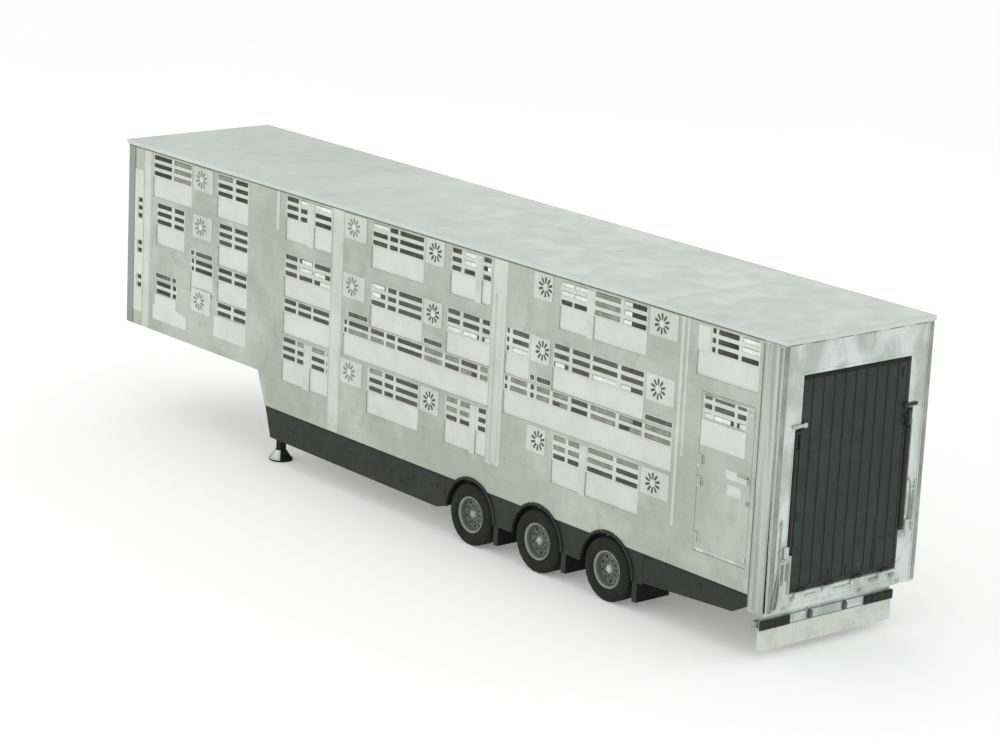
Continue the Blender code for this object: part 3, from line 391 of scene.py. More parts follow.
class Shape:
    """One mesh, gathered from simple solids."""

    def __init__(self):
        self.mesh = bmesh.new()

    def take(self, other, matrix=None):
        if matrix is not None:
            bmesh.ops.transform(other, matrix=matrix, verts=other.verts)
        data = bpy.data.meshes.new("part")
        other.to_mesh(data)
        other.free()
        self.mesh.from_mesh(data)
        bpy.data.meshes.remove(data)

    def block(self, low, high, edge=0.0, segments=2):
        """A box whose edges are rounded."""
        low, high = Vector(map(min, low, high)), Vector(map(max, low, high))
        part = bmesh.new()
        bmesh.ops.create_cube(part, size=1.0, matrix=Matrix.Diagonal((*(high - low), 1.0)))
        if edge:
            bmesh.ops.bevel(
                part, geom=part.edges, offset=edge, segments=segments, affect="EDGES", profile=0.5
            )
            bmesh.ops.remove_doubles(part, verts=part.verts, dist=1e-6)
        self.take(part, Matrix.Translation((low + high) / 2))

    def lathe(self, profile, centre, axis, steps=32, closed=False, per_step=None):
        """A profile of (radius, distance along) turned about an axis through centre.
        A closed profile is joined back to its start, and per_step may change a radius.
        """
        part = bmesh.new()
        turn = Vector((0, 0, 1)).rotation_difference(Vector(axis)).to_matrix().to_4x4()
        rings = []
        for step in range(steps):
            angle = 2 * math.pi * step / steps
            ring = []
            for index, (radius, along) in enumerate(profile):
                if per_step:
                    radius = per_step(step, index, radius)
                ring.append(part.verts.new((radius * math.cos(angle), radius * math.sin(angle), along)))
            rings.append(ring)
        count = len(profile)
        for step in range(steps):
            here, after = rings[step], rings[(step + 1) % steps]
            for index in range(count if closed else count - 1):
                follow = (index + 1) % count
                part.faces.new((here[index], after[index], after[follow], here[follow]))
        bmesh.ops.remove_doubles(part, verts=part.verts, dist=1e-6)
        bmesh.ops.dissolve_degenerate(part, edges=part.edges, dist=1e-7)
        bmesh.ops.recalc_face_normals(part, faces=part.faces)
        self.take(part, Matrix.Translation(centre) @ turn)

    def rod(self, start, end, radius, steps=16, edge=0.002, end_radius=None):
        """A round bar with eased ends, or a cone when the end has a radius of its own."""
        start, end = Vector(start), Vector(end)
        length = (end - start).length
        last = radius if end_radius is None else end_radius
        profile = [(0.0, 0.0), (max(radius - edge, 0.0), 0.0), (radius, edge)]
        profile += [(last, length - edge), (max(last - edge, 0.0), length), (0.0, length)]
        self.lathe(profile, start, end - start, steps)

    def dome(self, centre, direction, radius, height, steps=8, rings=3):
        """A low domed head, such as a rivet or a hub cap."""
        angles = [math.pi / 2 * i / rings for i in range(rings + 1)]
        profile = [(radius * math.cos(a), height * math.sin(a)) for a in angles]
        profile[-1] = (0.0, height)
        self.lathe([(0.0, 0.0), *profile], centre, direction, steps)

    def tube(self, points, radius, sides=8):
        """A bent round bar through points."""
        points = [Vector(p) for p in points]
        part = bmesh.new()
        rings = []
        for index, point in enumerate(points):
            before, after = points[max(index - 1, 0)], points[min(index + 1, len(points) - 1)]
            turn = Vector((0, 0, 1)).rotation_difference(after - before).to_matrix()
            rings.append([
                part.verts.new(point + turn @ Vector((radius * math.cos(a), radius * math.sin(a), 0)))
                for a in (2 * math.pi * i / sides for i in range(sides))
            ])
        for here, after in zip(rings, rings[1:]):
            for i in range(sides):
                part.faces.new((here[i], here[(i + 1) % sides], after[(i + 1) % sides], after[i]))
        part.faces.new(list(reversed(rings[0])))
        part.faces.new(rings[-1])
        bmesh.ops.recalc_face_normals(part, faces=part.faces)
        self.take(part)

    def sheet(self, plane, outlines, low, high, holes=(), edge=0.0):
        """Flat outlines with holes from low to high across a plane, with an eased rim."""
        curve = bpy.data.curves.new("sheet", "CURVE")
        curve.dimensions = "2D"
        curve.fill_mode = "BOTH"
        curve.extrude = abs(high - low) / 2 - edge
        curve.bevel_depth = edge
        curve.bevel_resolution = 0
        curve.offset = -edge
        for points in (*outlines, *holes):
            spline = curve.splines.new("POLY")
            spline.points.add(len(points) - 1)
            for point, (first, second) in zip(spline.points, points):
                point.co = (first, second, 0.0, 1.0)
            spline.use_cyclic_u = True
        obj = bpy.data.objects.new("sheet", curve)
        bpy.context.scene.collection.objects.link(obj)
        graph = bpy.context.evaluated_depsgraph_get()
        data = bpy.data.meshes.new_from_object(obj.evaluated_get(graph))
        part = bmesh.new()
        part.from_mesh(data)
        bmesh.ops.remove_doubles(part, verts=part.verts, dist=1e-6)
        bmesh.ops.recalc_face_normals(part, faces=part.faces)
        middle = Vector(PLANE_NORMALS[plane]) * (low + high) / 2
        self.take(part, Matrix.Translation(middle) @ PLANES[plane])
        bpy.data.objects.remove(obj)
        bpy.data.curves.remove(curve)
        bpy.data.meshes.remove(data)

    def side_sheet(self, sign, outlines, faces, holes=(), edge=0.0):
        """Flat outlines of (y, z) on a side wall, between two distances from the middle."""
        self.sheet("side", outlines, sign * faces[0], sign * faces[1], holes, edge)

    def side_block(self, sign, along, heights, faces, edge=0.0, segments=2):
        """A block on a side wall, between two places along, two heights and two distances from the middle."""
        corners = [(sign * x, y, z) for x, y, z in zip(faces, along, heights)]
        self.block(*corners, edge, segments)

    def rear_block(self, across, heights, out, edge=0.0, segments=2):
        """A block that stands out from the rear frame's face."""
        corners = zip(across, (PORTAL_FACE - 0.001, PORTAL_FACE + out), heights)
        self.block(*corners, edge, segments)

    def piece(self, name, slot, finish=None, body=BODY, smooth=35):
        """The finished object, riding on a body, with a slot's material or a finish of its own."""
        data = bpy.data.meshes.new(name)
        self.mesh.to_mesh(data)
        self.mesh.free()
        data.materials.append(MATERIALS[finish or slot])
        data.shade_smooth()
        data.set_sharp_from_angle(angle=math.radians(smooth))
        obj = bpy.data.objects.new(name, data)
        bpy.context.scene.collection.objects.link(obj)
        if body:
            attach(obj, body)
        return obj


PLANES = {
    # the world axes that an outline's two numbers and its thickness run along
    "side": Matrix(((0, 0, 1, 0), (1, 0, 0, 0), (0, 1, 0, 0), (0, 0, 0, 1))),
    "rear": Matrix(((1, 0, 0, 0), (0, 0, -1, 0), (0, 1, 0, 0), (0, 0, 0, 1))),
    "plan": Matrix.Identity(4),
}
PLANE_NORMALS = {"side": (1, 0, 0), "rear": (0, 1, 0), "plan": (0, 0, 1)}


# ---- side walls ----

SLOT = 0.064  # height of one slot
SLOT_ROUND = 0.011
RIM = 0.022  # how far a louvre sheet reaches past its slots, where its window allows
LOUVRES = {
    # name: (window's bottom and top, row heights, windows of (front, rear), openings of (front, rear))
    "deck_4": (
        (3.265, 3.885), (3.850, 3.735, 3.620),
        ((-6.13, -5.16), (-4.54, -3.79), (-2.91, -1.87), (-0.99, 0.12), (0.67, 1.49), (2.82, 4.42),
         (5.31, 6.36)),
        ((-6.11, -5.67), (-5.61, -5.18), (-4.52, -4.17), (-4.10, -3.81), (-2.89, -2.63), (-2.58, -2.43),
         (-2.25, -1.89), (-0.97, -0.66), (-0.61, -0.44), (-0.40, 0.10), (0.69, 0.88), (0.94, 1.16),
         (1.32, 1.475), (2.84, 3.05), (3.08, 3.32), (3.47, 3.93), (3.99, 4.40), (5.55, 5.61), (5.65, 6.00),
         (6.05, 6.34)),
    ),
    "neck_3": (
        (2.580, 3.190), (3.155, 3.040, 2.925), ((-6.03, -5.32), (-4.49, -3.77)),
        ((-6.01, -5.65), (-5.58, -5.34), (-4.47, -4.16), (-4.10, -3.79)),
    ),
    "deck_3": (
        (2.465, 3.070), (3.035, 2.920, 2.805),
        ((-2.91, -1.85), (-0.98, 0.13), (0.63, 1.52), (1.82, 2.29), (2.74, 4.43)),
        ((-2.89, -2.62), (-2.57, -2.27), (-2.23, -1.87), (-0.96, -0.66), (-0.61, -0.43), (-0.38, 0.11),
         (0.65, 0.90), (0.96, 1.29), (1.35, 1.50), (1.84, 1.89), (1.95, 2.27), (2.76, 3.04), (3.10, 3.43),
         (3.48, 3.94), (4.00, 4.41)),
    ),
    "neck_2": (
        (2.060, 2.555), (2.517, 2.407), ((-5.15, -4.60), (-4.49, -3.77)),
        ((-5.13, -5.07), (-5.03, -4.62), (-4.47, -4.14), (-4.08, -3.79)),
    ),
    "deck_2": (
        (1.940, 2.445), (2.408, 2.300), ((-2.91, -1.85), (-1.55, 1.52), (1.82, 4.97)),
        ((-2.89, -2.62), (-2.57, -2.27), (-2.23, -1.87), (-1.53, -1.47), (-1.43, -1.00), (-0.95, -0.66),
         (-0.61, -0.42), (-0.37, 0.15), (0.20, 0.58), (0.63, 0.92), (0.96, 1.29), (1.35, 1.50), (1.84, 1.89),
         (1.95, 2.28), (2.34, 2.41), (2.46, 2.71), (2.77, 3.06), (3.12, 3.43), (3.49, 3.95), (4.01, 4.43),
         (4.48, 4.95)),
    ),
    "neck_1": (
        (1.855, 2.045), (2.008, 1.892), ((-6.02, -5.48), (-4.49, -3.77)),
        ((-6.00, -5.64), (-5.59, -5.50), (-4.47, -4.14), (-4.08, -3.79)),
    ),
    "deck_1": (
        (1.255, 1.895), (1.858, 1.735, 1.620), ((-2.91, -1.86), (-0.99, 0.12), (0.67, 1.52), (2.81, 4.43)),
        ((-2.89, -2.61), (-2.56, -2.39), (-2.23, -1.94), (-1.90, -1.88), (-0.94, -0.66), (-0.61, -0.42),
         (-0.37, 0.10), (0.70, 0.92), (0.98, 1.19), (1.35, 1.50), (2.83, 3.06), (3.11, 3.32), (3.48, 3.95),
         (4.01, 4.41)),
    ),
}
FRONT_VENTS = (
    # bottom, top, heights of the slots
    (1.855, 2.045, (2.008, 1.892)),
    (2.370, 2.560, (2.520, 2.410)),
    (2.885, 3.190, (3.155, 3.040, 2.925)),
)
FRONT_VENT_Y = (-6.51, -6.38)
DOOR_VENT = (5.47, 6.22, 2.765, 3.070)
DOOR_SLOTS = ((5.49, 5.62), (5.66, 6.00), (6.05, 6.20))
SINGLE_ROWS = (
    # height, then openings, of rows on the wall's face with nothing behind them
    (2.535, ((-1.44, -1.02), (0.19, 0.56), (2.33, 2.41), (2.46, 2.72), (4.48, 4.96))),
    (2.640, ((-5.14, -5.06), (-5.02, -4.62))),
    (2.127, ((-6.01, -5.64), (-5.59, -5.50))),
)
SINGLE_Y, SINGLE_Z = 0.02, 0.045  # how far a single row's strip reaches past its slots and their middle
PILLARS = ((-2.41, -2.27), (1.18, 1.30), (3.34, 3.455))  # across the windows of decks 1 and 4
PILLAR_Z = ((1.250, 1.890), (3.262, 3.880))
FAN_COLUMNS = {
    # y: (plate's front and rear, heights)
    -4.92: (-5.11, -4.64, (3.733, 3.043, 1.960)),
    -1.38: (-1.58, -1.10, (3.732, 2.923, 1.732)),
    0.35: (0.16, 0.54, (3.741, 2.923, 1.741)),
    2.54: (2.32, 2.68, (3.739, 2.918, 1.742)),
    4.68: (4.47, 4.97, (3.739, 2.924, 1.739)),
}
PALE_FANS = (-4.92, -1.38)  # the columns whose discs of painted shade behind the grille show lighter
PLATE_HALF = 0.168
PLATE_FACE = ON_SKIN + 0.0050
PETALS = 10
PAINTED_GLINT_SLATS = (
    # heights of the rows, then openings, where a bright slat paints a glint of light in the slot
    ((3.850,), ((-2.58, -2.43), (-2.25, -1.89), (-0.97, -0.66), (2.84, 3.05), (3.08, 3.32), (6.05, 6.34))),
    ((3.850, 3.735), ((0.94, 1.16),)),
    ((3.850, 3.735, 3.620), ((3.99, 4.13),)),
    ((3.735,), ((2.84, 3.05), (3.08, 3.32), (6.05, 6.34), (1.40, 1.475))),
    ((3.035,), ((-2.52, -2.30), (-0.96, -0.70))),
    ((2.920,), ((-2.57, -2.30), (-2.23, -2.00), (-0.96, -0.78))),
    ((2.805,), ((-2.10, -1.87), (0.65, 0.90), (0.96, 1.24), (1.40, 1.50), (1.95, 2.27), (2.78, 2.95))),
    ((2.805,), ((3.48, 3.94), (4.00, 4.18))),
)
# the door vent's rows and openings where a bright slat paints a glint of light
DOOR_PAINTED_GLINTS = (((2.805,), ((5.49, 5.62), (5.66, 5.93), (6.09, 6.20))),)
# heights of the rows, then openings, where a grey slat paints the lit inside seen through the slot
PAINTED_LIT_INSIDE_SLATS = (
    ((3.850, 3.735, 3.620), ((3.47, 3.93), (-5.61, -5.18))),
    ((3.850,), ((-4.52, -4.17),)),
    ((2.408, 2.300), ((0.20, 0.58), (1.35, 1.50), (1.95, 2.28), (2.46, 2.71), (3.49, 3.95), (4.48, 4.95))),
    ((2.408,), ((0.63, 0.92), (2.77, 3.06), (4.01, 4.25))),
    ((2.300,), ((-1.43, -1.00), (-0.95, -0.66), (-0.61, -0.42), (0.96, 1.16), (2.90, 3.06), (4.20, 4.43))),
    ((1.858, 1.735), ((0.70, 0.92), (0.98, 1.19), (2.83, 3.06), (3.11, 3.32), (3.48, 3.95))),
    ((1.858,), ((-2.56, -2.39), (-2.23, -1.94), (4.01, 4.41), (-0.94, -0.66))),
)
STRIPS = (
    # front and rear, bottom and top, how far it stands out
    ((-6.345, -6.185), (1.285, 3.925), 0.002),
    ((-3.12, -3.05), (3.36, 3.92), 0.004),
    ((-1.83, -1.60), (0.815, 3.925), 0.002),
    ((1.535, 1.805), (1.20, 3.925), 0.002),
    ((5.03, 5.08), (1.30, 3.925), 0.003),
    ((5.13, 5.165), (2.20, 3.925), 0.002),
)
BEADS = (
    # y, bottom, top, radius
    (1.60, 1.24, 3.46, 0.016), (1.735, 1.24, 3.46, 0.008), (-6.15, 1.30, 3.92, 0.006),
)
RIVET = 0.0055
RIVET_COLUMNS = (
    # y, bottom, top, how far the sheet under them stands out
    (-6.552, 1.56, 3.54, 0.003), (-1.80, 0.88, 3.88, 0.002), (-1.63, 0.88, 3.88, 0.002),
    (5.055, 1.40, 3.88, 0.003), (-6.32, 1.36, 3.88, 0.002), (-6.21, 1.36, 3.88, 0.002),
)
HANDLE = (
    # (x, z) round the handle that hangs from the left bracket
    (1.115, 1.24), (1.13, 1.12), (1.155, 0.98), (1.19, 0.84), (1.205, 0.76), (1.185, 0.70),
    (1.15, 0.70), (1.125, 0.76), (1.118, 0.88), (1.112, 1.02), (1.108, 1.14),
)
LAMP_EDGES = (0.660, 0.775, 0.895, 1.015, 1.128)


def slots_in(openings, rows, first, last):
    """The outlines of every slot whose opening lies between first and last."""
    inside = [span for span in openings if first <= span[0] and span[1] <= last]
    return [
        rounded(front, rear, z - SLOT / 2, z + SLOT / 2, min(SLOT_ROUND, (rear - front) * 0.4), 3)
        for z in rows
        for front, rear in inside
    ]


def inset(front, rear, low, high, gap, radius):
    """A rectangle's outline, smaller by gap on every side."""
    return rounded(front + gap, rear - gap, low + gap, high - gap, radius, 2)


def louvre_sheets(side, sign):
    """The slotted sheets that fill the upper part of each window, behind the wall's face."""
    for name, ((bottom, top), rows, windows, openings) in LOUVRES.items():
        shape = Shape()
        low = max(bottom + 0.001, min(rows) - SLOT / 2 - RIM)
        outlines, holes = [], []
        for front, rear in windows:
            outlines.append(rounded(front + 0.0008, rear - 0.0008, low, top - 0.0008, 0.002, 2))
            holes += slots_in(openings, rows, front, rear)
        shape.side_sheet(sign, outlines, SHEET, holes, 0.0015)
        shape.piece(f"{side}_louvres_{name}", "wall_aluminium", "trim_aluminium")


def painted_slot_light(side, sign):
    """Thin slats inside the slots: bright ones paint glints of light, grey ones paint the lit inside seen
    through the slot.
    """
    vent_body = "door" if side == "left" else BODY
    sets = (("painted_glint_slats", BODY, PAINTED_GLINT_SLATS, "painted_glint_white"), ("painted_lit_inside_slats", BODY, PAINTED_LIT_INSIDE_SLATS, "painted_lit_and_shade_grey"))
    for name, body, rows, finish in (*sets, ("rear_vent_glint_slats", vent_body, DOOR_PAINTED_GLINTS, "painted_glint_white")):
        shape = Shape()
        for heights, openings in rows:
            for z in heights:
                for front, rear in openings:
                    span = (front - 0.002, rear + 0.002)
                    shape.side_block(sign, span, (z - SLOT / 2 - 0.002, z + SLOT * 0.34), SLAT)
        shape.piece(f"{side}_{name}", "shutter_panel", finish, body)


def corner_vents(side, sign):
    """The column of vents at the front corner, the pale strip round them and the seam ahead of it."""
    front, rear = FRONT_VENT_Y
    vents, strip, seam = Shape(), Shape(), Shape()
    outlines = [inset(front, rear, low, high, 0.001, 0.002) for low, high, _ in FRONT_VENTS]
    slot = [(front + 0.015, rear - 0.015)]
    holes = [hole for _, _, rows in FRONT_VENTS for hole in slots_in(slot, rows, front, rear)]
    vents.side_sheet(sign, outlines, SHEET, holes, 0.0015)
    vents.piece(f"{side}_front_vents", "wall_aluminium", "trim_aluminium")
    holes = [inset(front, rear, low, high, -0.003, 0.004) for low, high, _ in FRONT_VENTS]
    strip.side_sheet(sign, [rounded(-6.585, -6.363, 1.49, 3.60, 0.012)], COVER, holes, 0.001)
    strip.piece(f"{side}_front_vent_strip", "shutter_panel")
    faces = (ON_SKIN - 0.0001, ON_SKIN + 0.0012)
    seam.side_block(sign, (-6.602, -6.588), (1.290, 3.915), faces, 0.0005, 1)
    seam.piece(f"{side}_corner_seam", "black_plastic", "groove")


def rear_vents(side, sign):
    """The row of vents in the side door, or in the same place on the right, and the pale cover under it."""
    vent, cover = Shape(), Shape()
    front, rear, _, _ = DOOR_VENT
    holes = slots_in(DOOR_SLOTS, LOUVRES["deck_3"][1], front, rear)
    vent.side_sheet(sign, [inset(*DOOR_VENT, 0.001, 0.002)], SHEET, holes, 0.0015)
    body = "door" if side == "left" else BODY
    vent.piece(f"{side}_rear_vent", "wall_aluminium", "trim_aluminium", body)
    cover.side_sheet(sign, [rounded(5.458, 6.218, 2.43, 2.745, 0.012)], COVER, (), 0.001)
    cover.piece(f"{side}_rear_vent_cover", "shutter_panel", body=body)


def blind_rows(side, sign):
    """Single rows of slots that stand on the wall: a slotted strip over a dark sheet, painted shade for the
    slots' depth.
    """
    strip, dark = Shape(), Shape()
    for z, openings in SINGLE_ROWS:
        for front, rear in openings:
            outline = rounded(front - SINGLE_Y, rear + SINGLE_Y, z - SINGLE_Z, z + SINGLE_Z, 0.008, 3)
            holes = slots_in([(front, rear)], (z,), front, rear)
            strip.side_sheet(sign, [outline], (ON_SKIN + 0.0012, ON_SKIN + 0.0048), holes, 0.0008)
            back = rounded(front - 0.008, rear + 0.008, z - 0.04, z + 0.04, 0.005, 2)
            dark.side_sheet(sign, [back], (ON_SKIN, ON_SKIN + 0.0010))
    strip.piece(f"{side}_single_vents", "wall_aluminium", "trim_aluminium")
    dark.piece(f"{side}_single_vent_painted_shade", "black_plastic", "painted_shade_and_dark_grey")


def petal(centre, angle, inner, outer, width):
    """One tapering opening of a fan's grille, pointing out from the hub."""
    along = Vector((math.cos(angle), math.sin(angle)))
    aside = Vector((-along.y, along.x))
    narrow, wide = width * 0.32, width * 0.5
    half = [(inner, narrow), (outer - wide, wide), (outer - wide * 0.3, wide * 0.7)]
    half = [(out, -across) for out, across in half] + [(outer, 0.0)] + half[::-1]
    return [tuple(Vector(centre) + along * out + aside * across) for out, across in half]


def fans(side, sign):
    """Round ventilator grilles: a plate with ten openings, a disc behind it in painted shade for the inside
    seen through them, and a domed hub.
    """
    plates, dark, pale, hubs = Shape(), Shape(), Shape(), Shape()
    out = (sign, 0, 0)
    ring = [(0.145, 0.0), (0.145, 0.0015), (0.148, 0.0025), (0.152, 0.0025), (0.155, 0.0015), (0.155, 0.0)]
    cap = [(0, 0), (0.038, 0), (0.038, 0.002), (0.028, 0.005), (0.010, 0.006), (0, 0.006)]
    turns = [2 * math.pi * (i + 0.5) / PETALS for i in range(PETALS)]
    for y, (front, rear, heights) in FAN_COLUMNS.items():
        for z in heights:
            grille = [petal((y, z), turn, 0.050, 0.134, 0.038) for turn in turns]
            outline = rounded(front, rear, z - PLATE_HALF, z + PLATE_HALF, 0.018)
            plates.side_sheet(sign, [outline], (ON_SKIN + 0.0014, PLATE_FACE), grille, 0.0008)
            # the disc behind the grille paints the shade inside, paler in some columns
            inside_disc = pale if y in PALE_FANS else dark
            inside_disc.side_sheet(sign, [circle((y, z), 0.143, 32)], (ON_SKIN, ON_SKIN + 0.0012))
            plates.lathe(ring, (sign * PLATE_FACE, y, z), out, 40, True)
            hubs.lathe(cap, (sign * PLATE_FACE, y, z), out, 24)
            for corner_y in (front + 0.025, rear - 0.025):
                for corner_z in (z - PLATE_HALF + 0.025, z + PLATE_HALF - 0.025):
                    hubs.dome((sign * PLATE_FACE, corner_y, corner_z), out, 0.008, 0.003, 8, 2)
    plates.piece(f"{side}_fan_grilles", "wall_aluminium", "trim_aluminium")
    dark.piece(f"{side}_fan_shade_discs", "black_plastic", "painted_shade_and_dark_grey")
    pale.piece(f"{side}_pale_fan_shade_discs", "black_plastic", "fan_grey")
    hubs.piece(f"{side}_fan_hubs", "shutter_panel")


def wall_strips(side, sign):
    """Pillars across the windows, and cover strips that stand on the wall."""
    shape = Shape()
    for heights in PILLAR_Z:
        for along in PILLARS:
            shape.side_block(sign, along, heights, (SHEET_INNER + 0.004, SKIN_OUTER + 0.0035), 0.002, 1)
    for along, heights, out in STRIPS:
        shape.side_block(sign, along, heights, (ON_SKIN - 0.0001, ON_SKIN + out), 0.0012, 1)
    shape.piece(f"{side}_cover_strips", "wall_aluminium", "trim_aluminium")


def wall_beads(side, sign):
    """Round beads up the wall, and the bent end at the foot of the thickest."""
    beads = Shape()
    for y, low, high, radius in BEADS:
        beads.rod((sign * ON_SKIN, y, low), (sign * ON_SKIN, y, high), radius, 12)
    bend = [(1.60 + 0.10 * t, 1.25 - 0.05 * math.sin(1.57 * t)) for t in (0, 0.25, 0.5, 0.75, 1)]
    beads.tube([(sign * (ON_SKIN + 0.004), y, z) for y, z in bend], 0.010)
    beads.piece(f"{side}_wall_beads", "wall_aluminium", "trim_aluminium")


def fixed_covers(side, sign):
    """Pale sheets under the neck's lowest slots, and one over the front of deck 4's rearmost window."""
    shape = Shape()
    front = [(-6.03, 1.84), (-6.03, 1.70), (-6.08, 1.66), (-6.08, 1.46), (-5.22, 1.46), (-5.22, 1.62)]
    front += [(-5.50, 1.70), (-5.50, 1.84)]
    behind = rounded(-4.55, -3.77, 1.53, 1.835, 0.012)
    for outline in (front, behind, rounded(5.315, 5.52, 3.60, 3.883, 0.01)):
        shape.side_sheet(sign, [outline], COVER, (), 0.001)
    shape.piece(f"{side}_fixed_covers", "shutter_panel")


def blocked_spans():
    """(front, rear, bottom, top) of everything that a plank line must stop at."""
    blocks = [(*span, *heights) for heights, _, windows, _ in LOUVRES.values() for span in windows]
    blocks += [(*FRONT_VENT_Y, low, high) for low, high, _ in FRONT_VENTS]
    for front, rear, heights in FAN_COLUMNS.values():
        blocks += [(front, rear, z - PLATE_HALF, z + PLATE_HALF) for z in heights]
    for z, spans in SINGLE_ROWS:
        blocks += [(front - SINGLE_Y, rear + SINGLE_Y, z - SINGLE_Z, z + SINGLE_Z) for front, rear in spans]
    # the fixed covers and the door, then the cover strips and the front corner
    blocks += [(-6.09, -5.21, 1.45, 1.85), (-4.56, -3.76, 1.52, 1.84)]
    blocks += [(5.30, 5.53, 3.59, 3.89), (5.42, 6.37, 1.08, 3.11)]
    blocks += [(-1.84, -1.59, 0.8, 3.93), (1.53, 1.81, 1.19, 3.93), (5.02, 5.18, 0.8, 3.93)]
    blocks += [(-3.13, -3.04, 3.35, 3.93), (-6.36, -6.17, 1.28, 3.93), (-6.58, -6.53, 1.28, 3.93)]
    return blocks


def plank_lines(side, sign):
    """Low ridges along the wall where its extruded planks meet, stopped at every opening."""
    shape = Shape()
    blocks = blocked_spans()
    spacing, half, gap = 0.148, 0.0035, 0.012
    rear_end, shortest = 6.425, 0.03
    faces = (SKIN_OUTER - 0.001, SKIN_OUTER + 0.0016)
    z = 0.905
    while z < 3.91:
        cursor = -6.53 if z > 1.30 else -3.24
        spans = sorted((f - gap, r + gap) for f, r, low, high in blocks if low - gap < z < high + gap)
        for front, rear in [*spans, (rear_end, rear_end)]:
            if front - cursor > shortest:
                shape.side_block(sign, (cursor, front), (z - half, z + half), faces, 0.0008, 1)
            cursor = max(cursor, rear)
        z += spacing
    shape.piece(f"{side}_plank_joints", "wall_aluminium")


def rivets(side, sign):
    """Rows of rivets up the strips and along the wall's foot and head."""
    shape = Shape()
    out = (sign, 0, 0)
    for y, low, high, stand in RIVET_COLUMNS:
        count = int((high - low) / 0.14)
        for i in range(count + 1):
            place = (sign * (ON_SKIN + stand), y, low + (high - low) * i / count)
            shape.dome(place, out, RIVET, 0.0022, 6, 2)
    for i in range(60):
        y = -2.9 + i * 0.155
        if not any(abs(y - axle) < 0.56 for axle in AXLE_Y.values()):
            shape.dome((sign * SKIN_OUTER, y, 0.835), out, RIVET, 0.0025, 6, 2)
    for i in range(80):
        shape.dome((sign * SKIN_OUTER, -6.45 + i * 0.162, 3.910), out, RIVET, 0.0025, 6, 2)
    shape.piece(f"{side}_rivets", "bright_steel")


def door_pads():
    """Pale hinge and lock pads on the side door."""
    pads = Shape()
    for front, rear, low, high in ((5.93, 6.29, 2.122, 2.232), (5.96, 6.20, 1.932, 2.055)):
        pads.side_block(1, (front, rear), (low, high), COVER, 0.0015)
        for z in (low + 0.03, high - 0.03):
            faces = (ON_SKIN + 0.002, ON_SKIN + 0.006)
            pads.side_block(1, (front + 0.02, rear - 0.02), (z - 0.008, z + 0.008), faces, 0.002)
    for heights in ((2.150, 2.300), (1.905, 2.040), (1.205, 1.335)):
        pads.side_block(1, (5.436, 5.470), heights, (ON_SKIN, ON_SKIN + 0.006), 0.003)
    for along in ((5.51, 5.63), (6.06, 6.17)):
        pads.side_block(1, along, (1.112, 1.150), (ON_SKIN, ON_SKIN + 0.005), 0.002)
    pads.piece("door_pads", "shutter_panel", body="door")


def door_fittings():
    """Hinges, rails, handle plates and screws on the side door."""
    shape = Shape()
    for z in (1.20, 1.90, 2.17, 2.98):
        shape.side_block(1, (6.285, 6.335), (z - 0.03, z + 0.03), (ON_SKIN, ON_SKIN + 0.006), 0.002)
    for z in (1.14, 3.055):
        shape.side_block(1, (5.475, 6.32), (z - 0.010, z + 0.010), COVER, 0.001, 1)
    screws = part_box("side_door")[1].x - 0.0105
    for low in (1.22, 1.92, 2.19):
        shape.side_block(1, (5.512, 5.545), (low + 0.01, low + 0.11), (ON_SKIN, ON_SKIN + 0.005), 0.002)
        for dz in (0.03, 0.09):
            shape.dome((screws, 5.49, low + dz), (1, 0, 0), 0.006, 0.003, 8, 2)
    shape.piece("door_fittings", "bright_steel", body="door")


def door_seals():
    """Dark rubber up both edges of the door's opening."""
    seal = Shape()
    for along in ((5.4405, 5.4455), (6.3445, 6.3495)):
        seal.side_block(1, along, (1.1005, 3.0895), (SKIN_INNER + 0.001, SKIN_INNER + 0.004))
    seal.piece("door_seals", "black_plastic", "seal_rubber")


# ---- roof, front and rear ----


def roof_trim():
    """A rolled edge down each side with a strip of painted shadow under it, dashes of painted shadow under
    the rear edge, and flat seams across the sheet.
    """
    dark, trim = Shape(), Shape()
    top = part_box("roof")[1].z
    # a grey strip and dashes of painted shadow under the roof's edges
    for sign in SIDES.values():
        dark.side_block(sign, (-6.74, 6.43), (3.915, 3.9295), (1.2545, 1.262), 0.001, 1)
        trim.rod((sign * 1.266, -6.76, 3.944), (sign * 1.266, 6.77, 3.944), 0.0085, 10)
    for x in (-1.05, -0.62, -0.17, 0.27, 0.71, 1.08):
        dark.block((x - 0.11, 6.7655, 3.918), (x + 0.11, 6.772, 3.9295), 0.001, 1)
    dark.piece("roof_edge_shadow", "black_plastic", "groove")
    for y in (-4.55, -2.28, 0.0, 2.28, 4.55):
        trim.block((-1.22, y - 0.03, top - 0.004), (1.22, y + 0.03, top + 0.0018), 0.0012, 1)
    trim.piece("roof_seams", "roof_sheet")


